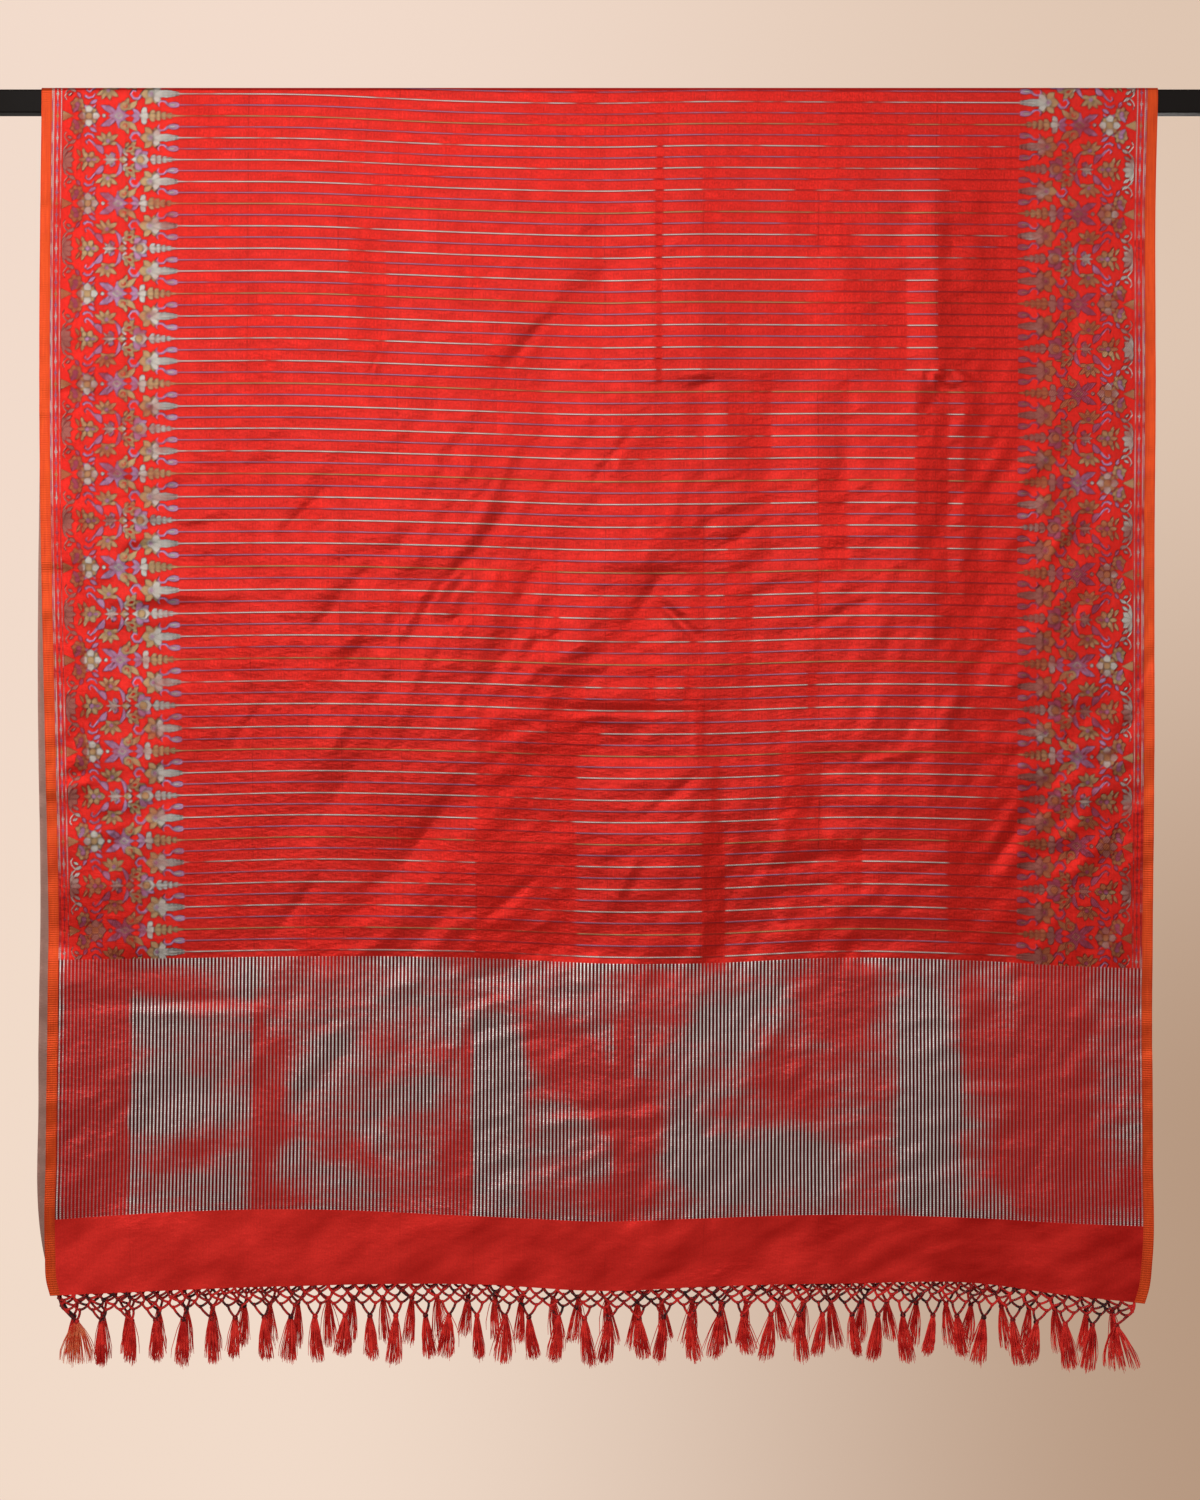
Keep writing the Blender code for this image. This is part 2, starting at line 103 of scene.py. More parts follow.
# Small sharp creases and crumples, in the folds' columns.
crumples = {
    "front": [(35, 241.5, 80, 4.5, 2, -0.6), (45, 400.5, 50, 4, -1, -0.6), (-30, 479.5, 120, 4, 1, 0.5),
              (24, 516, 62, 3.5, 0, -0.9), (24, 520.5, 62, 3.5, 0, 0.6), (40, 556, 80, 4.5, -2, -0.5),
              (-374, 768, 90, 6, 2, -0.9), (-370, 776, 80, 5, -3, 0.6), (294, 238, 20, 4.5, 35, -1.4),
              (296, 236, 18, 4.5, -40, 1.2), (282, 233, 10, 3.6, 62, -1.3), (303, 245, 11, 3.6, 8, -1.3),
              (311, 235, 9, 3.4, -24, 1.1), (290, 250, 12, 3.6, 50, -1), (60, 430, 14, 3.8, -35, -1.2),
              (68, 439, 14, 3.8, -35, -1.2), (76, 448, 12, 3.8, -35, -1), (44, 416, 22, 5, 55, -1.3),
              (86, 242, 14, 4, 20, -1), (348, 630, 18, 5, 50, -1), (-226, 431, 50, 6, 48, -1),
              (-130, 413, 60, 6, 52, -1.2), (-222, 588, 44, 6, 58, -1.2), (-150, 624, 50, 6, 56, -1.2),
              (-136, 30, 14, 3.5, 10, -0.9), (-12, 115, 16, 4, 40, -1), (-190, 228, 22, 4, 70, -1.1),
              (-60, 205, 26, 4.5, 48, -1.2), (10, 305, 34, 4, 52, -1.2), (-250, 350, 30, 4, 44, -1),
              (-90, 335, 30, 3.5, 60, 0.9), (120, 370, 26, 4, 30, -1.1), (-300, 530, 36, 4, 50, -1.1),
              (210, 435, 30, 4, 24, -1), (60, 588, 30, 4, 36, -1.2), (245, 560, 28, 4, 18, 0.9),
              (-80, 680, 34, 4.5, 40, -1.2), (160, 650, 30, 4, 8, -1.2), (-260, 685, 30, 4.5, 52, -1.1),
              (20, 660, 26, 4, 62, 0.9)],
    "back": [(60, 260, 60, 5, 3, -0.7), (-120, 480, 70, 5, -2, 0.6), (180, 640, 50, 5, 2, -0.7),
             (-260, 790, 60, 6, -4, -0.8)],
}

# Strips between creases, each turned a little: left, right, top, bottom, degrees towards the left.
strips = {
    "front": [(-456.5, -440, 0, 600, -4), (429, 467, 0, 1020, 0.6), (365, 429, 0, 730, -0.4),
              (5.5, 48, 25, 240, 4), (48, 56, 25, 240, -2), (56, 88, 25, 240, 4), (265, 289, 25, 240, 6),
              (289, 365, 25, 240, -1), (-213, -179, 100, 220, -3), (-34, 18, 240, 400, 3),
              (93, 109, 240, 400, 4.5), (149, 188, 240, 400, 4.5), (215, 271, 240, 400, 4.5),
              (300, 311, 240, 400, 5), (-34, -13, 400, 480, 2.5), (56, 77, 400, 480, 2.5),
              (93, 107, 400, 480, 4), (133, 183, 400, 480, 4.5), (192, 284, 400, 480, 4),
              (-11, 0, 480, 520, 3), (48, 72, 480, 520, 3.5), (130, 178, 480, 520, 4.5),
              (186, 306, 480, 520, 4), (5.5, 82, 520, 556, 3.5), (93, 157, 520, 556, 3.5),
              (159, 297, 520, 556, 4), (-106, 0, 520, 556, -3), (-18, 93, 556, 615, 3.5),
              (103, 152, 556, 615, 4), (192, 289, 556, 615, 4.5), (-106, -22, 556, 615, -3),
              (-18, 88, 615, 729.5, 3.5), (109, 157, 615, 729.5, 4.5), (226, 297, 615, 729.5, 4.5),
              (-106, -22, 615, 729.5, -3.5), (85, 107, 615, 729.5, -5), (-460, -405, 729.5, 948, -5),
              (-405, -298, 729.5, 948, 1.6), (-298, -289, 780, 948, -4), (-118, -109, 780, 948, -3),
              (-109, -65, 729.5, 948, 2.2), (14, 28, 780, 948, -4), (256, 311, 729.5, 948, 1.6),
              (357, 419, 729.5, 948, -1)],
    "back": [(-400, -360, 30, 1000, 3), (-200, -170, 200, 900, -3), (30, 80, 50, 700, 3.5),
             (240, 270, 100, 950, -3.5), (390, 430, 50, 1000, 3)],
}

# Painted sheen: where the weft is painted shining (+) or painted dull (-) beyond what the strips' turns give,
# with a share for the height.
glints = {
    "front": [(-200, 300, 600, 220, 90, 0.3), (400, 450, 600, 100, 90, -0.25),
              (-50, 790, 85, 26, -40, -0.75), (10, 845, 55, 20, -46, -0.7), (213, 765, 36, 26, 60, -0.8),
              (-395, 748, 60, 14, 4, -0.55), (-330, 765, 50, 12, -8, -0.45), (130, 900, 90, 30, 10, 0.55),
              (60, 860, 60, 22, -50, 0.4), (-190, 800, 50, 20, -35, -0.45), (-230, 890, 60, 16, -30, -0.35),
              (10, 925, 50, 14, 4, -0.5), (340, 820, 80, 30, -60, -0.4), (-350, 900, 60, 20, 20, -0.3),
              (-281, 870, 75, 13, 86, -0.5), (-127, 880, 70, 14, 94, -0.4), (40, 870, 80, 20, 80, -0.55),
              (281, 840, 120, 22, 88, 0.45), (390, 850, 120, 30, 95, -0.35), (-240, 820, 60, 26, 60, 0.3),
              (-75, 800, 50, 30, 40, 0.35), (100, 780, 50, 16, 20, 0.35), (170, 840, 50, 18, -55, -0.35),
              (-120, 860, 60, 20, -40, 0.3)],
    "back": [(100, 500, 500, 120, 80, 0.3), (-250, 700, 300, 90, 70, -0.3), (200, 850, 70, 30, 40, -0.5),
             (-100, 870, 80, 30, -45, 0.4)],
}

# How far the woven repeat runs ahead of a straight line: across, then at each stop down the fall.
skewStops = [0, 90, 200, 320, 430, 540, 640]
skews = [(-475, -6.8, -8.7, -7.7, -6.8, -2.4, 0.4, 0.5), (-360, -6.8, -8.8, -7.9, -7.3, -2.5, 0.2, 0.1),
         (-260, -6.3, -8.3, -7.9, -6.5, -2.7, -0.2, -1.4), (-110, -0.2, -2.8, -3.2, -3.5, -1.3, 1.4, 0.4),
         (10, 1.3, -0.7, -1.2, -2.2, -0.8, 1.7, -0.1), (85, -0.1, -2.0, -1.7, -2.7, -0.6, 1.9, -0.6),
         (210, 0.3, -1.0, -0.1, -1.8, -0.5, 1.8, -0.6), (330, 0.7, -0.7, -0.1, -1.5, -1.0, 0.8, -0.7),
         (400, 1.1, -0.3, -0.5, -2.0, -1.2, 0.4, -0.9), (475, 2.1, 0.3, -0.3, -2.2, -1.4, 0.3, -0.9)]
weave = {"repeat": 0.0761, "firstGold": 0.0200, "stripes": 8, "backSkewFade": 0.4}


# From here on everything is in metres.
def metres(rows, lengths=None):
    # The rows with the columns that hold lengths, or all of them, turned from millimetres into metres.
    return [tuple(value / 1000 if lengths is None or column in lengths else value
                  for column, value in enumerate(row)) for row in rows]


def bothFalls(table, lengths=None):
    return {fall: metres(rows, lengths) for fall, rows in table.items()}


edges, sags, creases, skews = bothFalls(edges), bothFalls(sags), bothFalls(creases), metres(skews)
folds, crumples = bothFalls(folds, (0, 1, 2, 3, 5)), bothFalls(crumples, (0, 1, 2, 3, 5))
strips, glints = bothFalls(strips, (0, 1, 2, 3)), bothFalls(glints, (0, 1, 2, 3))
skewStops = [stop / 1000 for stop in skewStops]


def softStep(value):
    value = np.clip(value, 0.0, 1.0)
    return value * value * (3 - 2 * value)


def throughRows(places, values, at):
    # A smooth curve through a table's rows.
    places, values = np.asarray(places), np.asarray(values)
    slopes = np.gradient(values, places)
    row = np.clip(np.searchsorted(places, at) - 1, 0, len(places) - 2)
    span = places[row + 1] - places[row]
    part = np.clip((at - places[row]) / span, 0.0, 1.0)
    rise = values[row + 1] - values[row]
    start, end = slopes[row] * span, slopes[row + 1] * span
    return (values[row] + start * part + (3 * rise - 2 * start - end) * part**2
            + (start + end - 2 * rise) * part**3)


def sidePlace(fall, across, drop):
    # The sideways place, shared out between the fall's two edges.
    drops, left, right = zip(*edges[fall])
    left, right = throughRows(drops, left, drop), throughRows(drops, right, drop)
    return left + (right - left) * (across / cloth["width"] + 0.5)


def betweenStops(stops, levels, drop):
    # Straight lines between levels that hold at a few drops.
    stops = np.array(stops)
    row = np.clip(np.searchsorted(stops, drop) - 1, 0, len(stops) - 2)
    part = np.clip((drop - stops[row]) / (stops[row + 1] - stops[row]), 0.0, 1.0)
    each = np.arange(len(drop))
    return levels[row, each] * (1 - part) + levels[row + 1, each] * part


def sag(fall, across, drop):
    columns = list(zip(*sags[fall]))
    levels = np.array([throughRows(columns[0], column, across) for column in columns[1:]])
    stops = [cloth[name] for name in ("level", "fieldEnd", "palluEnd", "hem", "knots")]
    return betweenStops(stops, levels, drop)


def skew(across, drop):
    columns = list(zip(*skews))
    ahead = [throughRows(columns[0], column, across) for column in columns[1:]]
    return betweenStops(skewStops + [cloth["fieldEnd"]], np.array(ahead + [np.zeros_like(across)]), drop)


def foldRise(rows, across, drop):
    # The summed height of long soft humps, each turned by its slant.
    total = np.zeros_like(across)
    for place, level, length, width, slant, height in rows:
        turn = math.radians(slant)
        right, up = across - place, level - drop
        along = right * math.cos(turn) + up * math.sin(turn)
        aside = up * math.cos(turn) - right * math.sin(turn)
        total += height * np.exp(-(along / length) ** 2 - (aside / width) ** 2)
    return total


def creaseRise(fall, across, drop):
    # Heights at the storage creases, with a bulge between each two.
    places, halfWay, atHem, bulge = (np.array(column) for column in zip(*creases[fall]))
    row = np.clip(np.searchsorted(places, across) - 1, 0, len(places) - 2)
    part = (across - places[row]) / (places[row + 1] - places[row])
    lower = np.maximum(2 * drop / cloth["hem"] - 1, 0.0)
    here = halfWay[row] + (atHem[row] - halfWay[row]) * lower
    there = halfWay[row + 1] + (atHem[row + 1] - halfWay[row + 1]) * lower
    return here * (1 - part) + there * part + bulge[row] * 4 * part * (1 - part)


relief = {
    "step": 0.002, "stripEdge": 0.0030, "stripFade": 0.030, "levelling": 0.070, "foldShare": 0.32,
    "cockle": 0.00022, "cockleWide": 0.011, "cockleTall": 0.020, "calmBelow": 0.65, "calmFade": 0.010,
    "curl": 0.0012, "curlReach": 0.006, "smooth": 0.0014, "noiseSize": 700, "noiseLevel": 0.5,
    "wrinklePatch": 0.045, "wrinkleShare": 0.55, "wrinkleVary": 0.75, "wrinkleRange": (0.1, 1.8),
    # shineAtLevel, shinePerDegree and shinePatches set the painted sheen map, not the relief.
    "shineAtLevel": 0.42, "shinePerDegree": 0.14, "shinePatches": [(0.022, 0.12), (0.007, 0.07)],
}
acrossLines = np.arange(-halfWidth, halfWidth + 1e-6, relief["step"])
dropLines = np.arange(0.0, cloth["knots"] + 0.01, relief["step"])

# Fine wrinkles: size along, size aside, slant, height.
wrinkles = [(0.026, 0.0046, 50, 0.00016), (0.034, 0.0040, 3, 0.00015), (0.040, 0.0050, 87, 0.00013),
            (0.014, 0.0036, 62, 0.00018), (0.010, 0.0034, 20, 0.00015)]


def blur(grid, width, axis):
    count = grid.shape[axis]
    far = (np.arange(count)[:, None] - np.arange(count)[None, :]) * relief["step"] / width
    weights = np.exp(-far * far / 2)
    weights /= weights.sum(axis=1, keepdims=True)
    return weights @ grid if axis == 0 else grid @ weights.T


def evenNoise(rng, shape, wide, tall):
    # Smooth noise of unit strength, with bumps of a width across the cloth and a height down it.
    grid = blur(blur(rng.normal(size=shape), wide, 1), tall, 0)
    return grid / grid.std()


def sampled(grid, column, row):
    # The grid's value between its cells.
    column = np.clip(column, 0, grid.shape[1] - 1.001)
    row = np.clip(row, 0, grid.shape[0] - 1.001)
    left, top = column.astype(int), row.astype(int)
    right, down = column - left, row - top
    upper = grid[top, left] * (1 - right) + grid[top, left + 1] * right
    lower = grid[top + 1, left] * (1 - right) + grid[top + 1, left + 1] * right
    return upper * (1 - down) + lower * down


def window(lines, start, end, soft):
    return softStep((lines - start) / soft + 0.5) * softStep((end - lines) / soft + 0.5)


def wrinkled(across, drop, rng):
    # Uneven little ridges in a few directions, strongest in patches.
    centre = relief["noiseSize"] // 2
    total = np.zeros_like(across)
    right, up = across / relief["step"], (relief["noiseLevel"] - drop) / relief["step"]
    for along, aside, slant, height in wrinkles:
        grid = evenNoise(rng, (relief["noiseSize"], relief["noiseSize"]), along, aside)
        turn = math.radians(slant)
        ridges = sampled(grid, centre + right * math.cos(turn) + up * math.sin(turn),
                         centre + up * math.cos(turn) - right * math.sin(turn))
        patch = evenNoise(rng, across.shape, relief["wrinklePatch"], relief["wrinklePatch"])
        share = np.clip(relief["wrinkleShare"] + relief["wrinkleVary"] * patch, *relief["wrinkleRange"])
        total += height * ridges * share
    return total


def turnsOf(fall):
    # The grid's places and how far each strip is turned there, in degrees.
    across, drop = np.meshgrid(acrossLines, dropLines)
    turns = np.zeros_like(across)
    for left, right, top, bottom, degrees in strips[fall]:
        turns += degrees * np.outer(window(dropLines, top, bottom, relief["stripFade"]),
                                    window(acrossLines, left, right, relief["stripEdge"]))
    return across, drop, turns


def reliefOf(fall, rng):
    # How far the cloth stands out from the plane of its fall.
    across, drop, turns = turnsOf(fall)
    turned = np.cumsum(np.tan(np.radians(turns)), axis=1) * relief["step"]
    turned -= blur(turned, relief["levelling"], 1)
    height = turned + creaseShare[fall] * creaseRise(fall, across, drop)
    height += relief["foldShare"] * foldRise(folds[fall], across, drop)
    height += foldRise(crumples[fall], across, drop)
    cockle = evenNoise(rng, across.shape, relief["cockleWide"], relief["cockleTall"])
    calm = 1 - relief["calmBelow"] * softStep((drop - cloth["palluEnd"]) / relief["calmFade"] + 0.5)
    height += relief["cockle"] * cockle + wrinkled(across, drop, rng) * calm
    for side in (-1, 1):
        height += relief["curl"] * np.exp((side * across - halfWidth) / relief["curlReach"])
    height = blur(blur(height, relief["smooth"], 1), relief["smooth"], 0)
    high, low = cloth["mostOutward"], cloth["mostInward"]
    return np.where(height > 0, high * np.tanh(height / high), low * np.tanh(height / low))


def shineOf(fall, rng):
    # Painted sheen map: from 0 where the weft is painted dull to 1 where it is painted shining.
    across, drop, turns = turnsOf(fall)
    shine = relief["shineAtLevel"] + relief["shinePerDegree"] * turns
    for size, strength in relief["shinePatches"]:
        shine += strength * evenNoise(rng, across.shape, size, size * 0.8)
    return np.clip(shine + foldRise(glints[fall], across, drop), 0.0, 1.0)


reliefs = {fall: reliefOf(fall, np.random.default_rng(seed)) for fall, seed in (("front", 7), ("back", 8))}
# The painted sheen maps, one for each fall.
shines = {fall: shineOf(fall, np.random.default_rng(seed)) for fall, seed in (("front", 9), ("back", 10))}
print("relief ready:", {fall: (round(grid.min(), 4), round(grid.max(), 4)) for fall, grid in reliefs.items()})


def atPlace(grid, across, drop):
    return sampled(grid, (across + halfWidth) / relief["step"], drop / relief["step"])


def standOut(fall, across, drop):
    # The relief, held taut by the rod and let loose below it.
    loose = softStep((drop - cloth["taut"]) / (cloth["loose"] - cloth["taut"]))
    return atPlace(reliefs[fall], across, drop) * loose


def fallPlace(fall, across, drop):
    # Where a point of a fall hangs, round the rod's edge above and on its relief below.
    out = -1 if fall == "front" else 1
    shorter = 0.0 if fall == "front" else cloth["backShorter"]
    side = sidePlace(fall, across, drop)
    centre = face - turnRadius
    angle = np.clip((turnDrop - drop) / turnRadius, 0.0, math.pi / 2)
    below = drop * (1 - shorter / cloth["hem"]) + sag(fall, across, drop)
    onRod = drop < turnDrop
    depth = np.where(onRod, centre + turnRadius * np.cos(angle), face + standOut(fall, across, drop))
    height = np.where(onRod, centre + turnRadius * np.sin(angle), -below)
    return np.stack([side, out * depth, height], axis=1)


def topPlace(across, drop):
    side = sidePlace("front", across, np.zeros_like(drop))
    return np.stack([side, topDrop - topDepth / 2 - drop, np.full_like(drop, face)], axis=1)


def patternPlace(fall, across, drop):
    # How far along the warp a point is, by which the weave is drawn.
    if fall == "front":
        return drop - skew(across, drop)
    columns = list(zip(*skews))
    ahead = throughRows(columns[0], columns[1], across) * np.clip(1 - drop / weave["backSkewFade"], 0.0, 1.0)
    return 2 * topDrop - topDepth - drop - ahead


def put(tree, kind, settings=None, feeds=None):
    # A new node with its settings, and a value or a link for each named input.
    made = tree.nodes.new(kind)
    for name, value in (settings or {}).items():
        setattr(made, name, value)
    for name, value in (feeds or {}).items():
        if isinstance(value, bpy.types.NodeSocket):
            tree.links.new(value, made.inputs[name])
        else:
            made.inputs[name].default_value = value
    return made


def calc(tree, operation, *feeds):
    return put(tree, "ShaderNodeMath", {"operation": operation}, dict(enumerate(feeds))).outputs[0]


def times(tree, value, factor):
    return calc(tree, "MULTIPLY", value, factor)


def scaled(tree, value, factor, plus):
    # The value times the factor, plus the last.
    return calc(tree, "MULTIPLY_ADD", value, factor, plus)


def away(tree, value, middle):
    return calc(tree, "ABSOLUTE", calc(tree, "SUBTRACT", value, middle))


def eased(tree, value, low, high, atLow=0.0, atHigh=1.0):
    # Goes smoothly from one level to another as the value passes from low to high.
    return put(tree, "ShaderNodeMapRange", {"interpolation_type": "SMOOTHSTEP"},
               {0: value, 1: low, 2: high, 3: atLow, 4: atHigh}).outputs[0]


def softMask(tree, distance, reach, soft=0.12):
    # 1 where the distance is under reach, fading over a soft edge.
    return eased(tree, distance, reach - soft, reach + soft, 1.0, 0.0)


def mixColour(tree, factor, first, second):
    return put(tree, "ShaderNodeMix", {"data_type": "RGBA"}, {0: factor, 6: first, 7: second}).outputs[2]


def newMaterial(name):
    material = bpy.data.materials.new(name)
    material.use_nodes = True
    tree = material.node_tree
    tree.nodes.clear()
    return material, tree


def clothPlace(tree):
    # Places on the flat cloth in millimetres: across, along the warp, in from the nearer edge.
    flat = put(tree, "ShaderNodeUVMap", {"uv_map": "cloth"}).outputs[0]
    parts = put(tree, "ShaderNodeSeparateXYZ", feeds={0: flat})
    across, along = (times(tree, parts.outputs[i], 1000.0) for i in (0, 1))
    return across, along, calc(tree, "MINIMUM", across, calc(tree, "SUBTRACT", cloth["width"] * 1000, across))


# Noise on the cloth: counts per millimetre across and along it, and detail.
noises = {
    "streaks": (0.60, 0.014, 2.0), "grain": (0.75, 0.50, 1.0), "mottle": (0.060, 0.110, 2.0),
    "wander": (0.0, 0.010, 2.0), "breaks": (0.004, 0.022, 2.0), "crepe": (0.11, 0.23, 3.0),
    "rope glints": (0.022, 0.16, 2.0), "slanted light": (0.012, 0.036, 1.5), "rubbed": (0.10, 0.045, 3.0),
    "rib threads": (1.1, 0.03, 1.0), "floats": (0.25, 1.1, 2.0), "faded": (0.05, 0.03, 2.0),
}


def speckle(tree, across, along, kind):
    perAcross, perAlong, detail = noises[kind]
    place = put(tree, "ShaderNodeCombineXYZ",
                feeds={0: times(tree, across, perAcross), 1: times(tree, along, perAlong)})
    return put(tree, "ShaderNodeTexNoise", {"noise_dimensions": "2D"},
               {"Vector": place.outputs[0], "Scale": 1.0, "Detail": detail, "Roughness": 0.6}).outputs[0]


# Linear colours in pairs, mixed by a factor from 0 to 1. For the weft, ground and gap colours the pair is
# painted dull and painted sheen, set by the shine attribute. Red warp is painted darker where the weft has
# painted sheen, and the gap colours are painted shade between threads. The plain pair is painted shade and
# painted light. The orange and reverse pairs are tones mixed by noise.
silk = {
    "ground": ((0.580, 0.0145, 0.0090, 1), (0.552, 0.0170, 0.0115, 1)),
    "palluGround": ((0.480, 0.008, 0.007, 1), (0.100, 0.004, 0.005, 1)),
    "plain": ((0.480, 0.010, 0.007, 1), (0.960, 0.040, 0.030, 1)),
    "gap": ((0.100, 0.005, 0.005, 1), (0.008, 0.002, 0.003, 1)),
    "white": ((0.520, 0.190, 0.155, 1), (1.000, 0.940, 0.870, 1)),
    "stripe gap": ((0.300, 0.012, 0.010, 1), (0.016, 0.003, 0.004, 1)),
    "silver": ((0.620, 0.180, 0.170, 1), (1.000, 0.960, 0.940, 1)),
    "chain": ((0.360, 0.026, 0.022, 1), (0.820, 0.770, 0.730, 1)),
    "lilac": ((0.480, 0.080, 0.150, 1), (0.720, 0.370, 0.640, 1)),
    "lilac chain": ((0.330, 0.016, 0.024, 1), (0.520, 0.230, 0.380, 1)),
    "gold chain": ((0.360, 0.030, 0.014, 1), (0.620, 0.360, 0.170, 1)),
    "gold": ((0.560, 0.170, 0.068, 1), (0.820, 0.540, 0.270, 1)),
    "orange": ((0.560, 0.045, 0.010, 1), (0.800, 0.096, 0.016, 1)),
    "reverse": ((0.400, 0.200, 0.160, 1), (0.520, 0.310, 0.260, 1)),
}
satin = {"metallic": 0.50, "roughness": 0.40, "mottled": 0.16, "anisotropic": 0.60, "specular": 0.15}


def shineHere(tree, mottle, fray=0.70, dull=0.16, full=0.72):
    # How much painted sheen the weft has here, with its patches' edges frayed.
    own = put(tree, "ShaderNodeAttribute", {"attribute_name": "shine"}).outputs["Fac"]
    return eased(tree, scaled(tree, mottle, fray, calc(tree, "ADD", own, -fray / 2)), dull, full)


# A silk pair mixed by a factor; where the factor is the shine, this is painted sheen.
def tone(tree, name, shine):
    return mixColour(tree, shine, *silk[name])


def shaded(tree, colour, amount):
    # The colour, darkened a little by an uneven amount from 0 to 1.
    value = calc(tree, "ADD", amount, 0.50)
    return put(tree, "ShaderNodeHueSaturation", feeds={"Value": value, "Color": colour}).outputs[0]


# Millimetres from the left edge of the sharp lines where the cloth was folded away, each painted darker as
# shade in the crease.
foldedAway = {"lines": [73, 177, 254, 305, 368, 481, 565, 663, 763, 840],
              "wander": 5.0, "half": 0.45, "dim": 0.22}


def creaseShadeLines(tree, across, along):
    # Thin broken lines down the warp where the cloth was folded away, where the colour is painted darker as
    # crease shade.
    wander = scaled(tree, speckle(tree, across, along, "wander"), foldedAway["wander"], across)
    nearest = away(tree, wander, foldedAway["lines"][0] + foldedAway["wander"] / 2)
    for line in foldedAway["lines"][1:]:
        nearest = calc(tree, "MINIMUM", nearest, away(tree, wander, line + foldedAway["wander"] / 2))
    broken = softMask(tree, speckle(tree, across, along, "breaks"), 0.52, 0.08)
    return times(tree, softMask(tree, nearest, foldedAway["half"], 0.35), broken)


def clothBase(tree):
    # What every woven stretch shares: places on it, its streaks down the warp with painted shade along the
    # crease lines, and its mottle.
    across, along, inward = clothPlace(tree)
    streaks = speckle(tree, across, along, "streaks")
    grain = speckle(tree, across, along, "grain")
    mottle = speckle(tree, across, along, "mottle")
    toneAndCreaseShade = scaled(tree, streaks, 0.35, times(tree, grain, 0.65))
    toneAndCreaseShade = scaled(tree, creaseShadeLines(tree, across, along), -foldedAway["dim"], toneAndCreaseShade)
    return across, along, inward, toneAndCreaseShade, mottle


def finishShader(tree, colour, roughness, specular, height, strength, distance, more=None):
    # One shader with its bump, joined to the material's output.
    bump = put(tree, "ShaderNodeBump", feeds={"Strength": strength, "Distance": distance, "Height": height})
    shader = put(tree, "ShaderNodeBsdfPrincipled", feeds={
        "Base Color": colour, "Roughness": roughness, "Specular IOR Level": specular,
        "Normal": bump.outputs[0], **(more or {})})
    put(tree, "ShaderNodeOutputMaterial", feeds={"Surface": shader.outputs[0]})


def satinShader(tree, colour, height, mottle, strength=0.45, distance=0.0008):
    tangent = put(tree, "ShaderNodeTangent", {"direction_type": "UV_MAP", "uv_map": "cloth"})
    roughness = scaled(tree, mottle, satin["mottled"], satin["roughness"] - satin["mottled"] / 2)
    finishShader(tree, colour, roughness, satin["specular"], height, strength, distance, {
        "Metallic": satin["metallic"], "Anisotropic": satin["anisotropic"], "Tangent": tangent.outputs[0]})


# Dashes: millimetres from each to the next, slant, the share that is thread and how soft it ends.
dashKinds = {
    "stripe": (1.5, 0.60, 0.52, 0.10), "guard": (1.6, 0.30, 0.48, 0.10), "rope": (1.8, 0.34, 0.74, 0.06),
    "white": (1.9, 1 / 2.4, 0.54, 0.07), "lilac": (1.9, 1 / 2.4, 0.60, 0.07),
    "gold": (1.9, 1 / 2.4, 0.58, 0.07), "pick": (1.15, 0.0, 0.86, 0.16),
}


def dashes(tree, run, kind, aside=0.0):
    # 1 on the thread of slanted dashes that follow each other along the run.
    pitch, slant, share, soft = dashKinds[kind]
    step = calc(tree, "FRACT", scaled(tree, run, 1 / pitch, times(tree, aside, slant)))
    return softMask(tree, away(tree, step, 0.5), share / 2, soft)


def creped(tree, across, along):
    # Small irregular puckers in the weave, a few millimetres across.
    return speckle(tree, across, along, "crepe")


def nearestLine(tree, value, pitch, first):
    # The number of the nearest of many even lines, and how far the value lies past it.
    count = scaled(tree, value, 1 / pitch, -first / pitch)
    nearest = calc(tree, "ROUND", count)
    return nearest, times(tree, calc(tree, "SUBTRACT", count, nearest), pitch)


def stripeParts(tree, along):
    # The nearest stripe's number in the repeat and the distance to its middle in millimetres.
    pitch = weave["repeat"] * 1000 / weave["stripes"]
    nearest, offset = nearestLine(tree, along, pitch, weave["firstGold"] * 1000)
    return calc(tree, "FLOORED_MODULO", nearest, float(weave["stripes"])), offset


guard = {"seam": 9.4, "outer": 10.6, "beads": 13.9, "inner": 17.1, "spires": 112.0,
         "stripeHalf": 0.50, "shadowFrom": 0.95, "shadowHalf": 0.35, "shadowShare": 0.55, "brighter": 0.14,
         "beadIn": 1.6, "beadAlong": 2.1, "beadLineHalf": 0.42, "dottedHalf": 0.45, "seamHalf": 0.35}


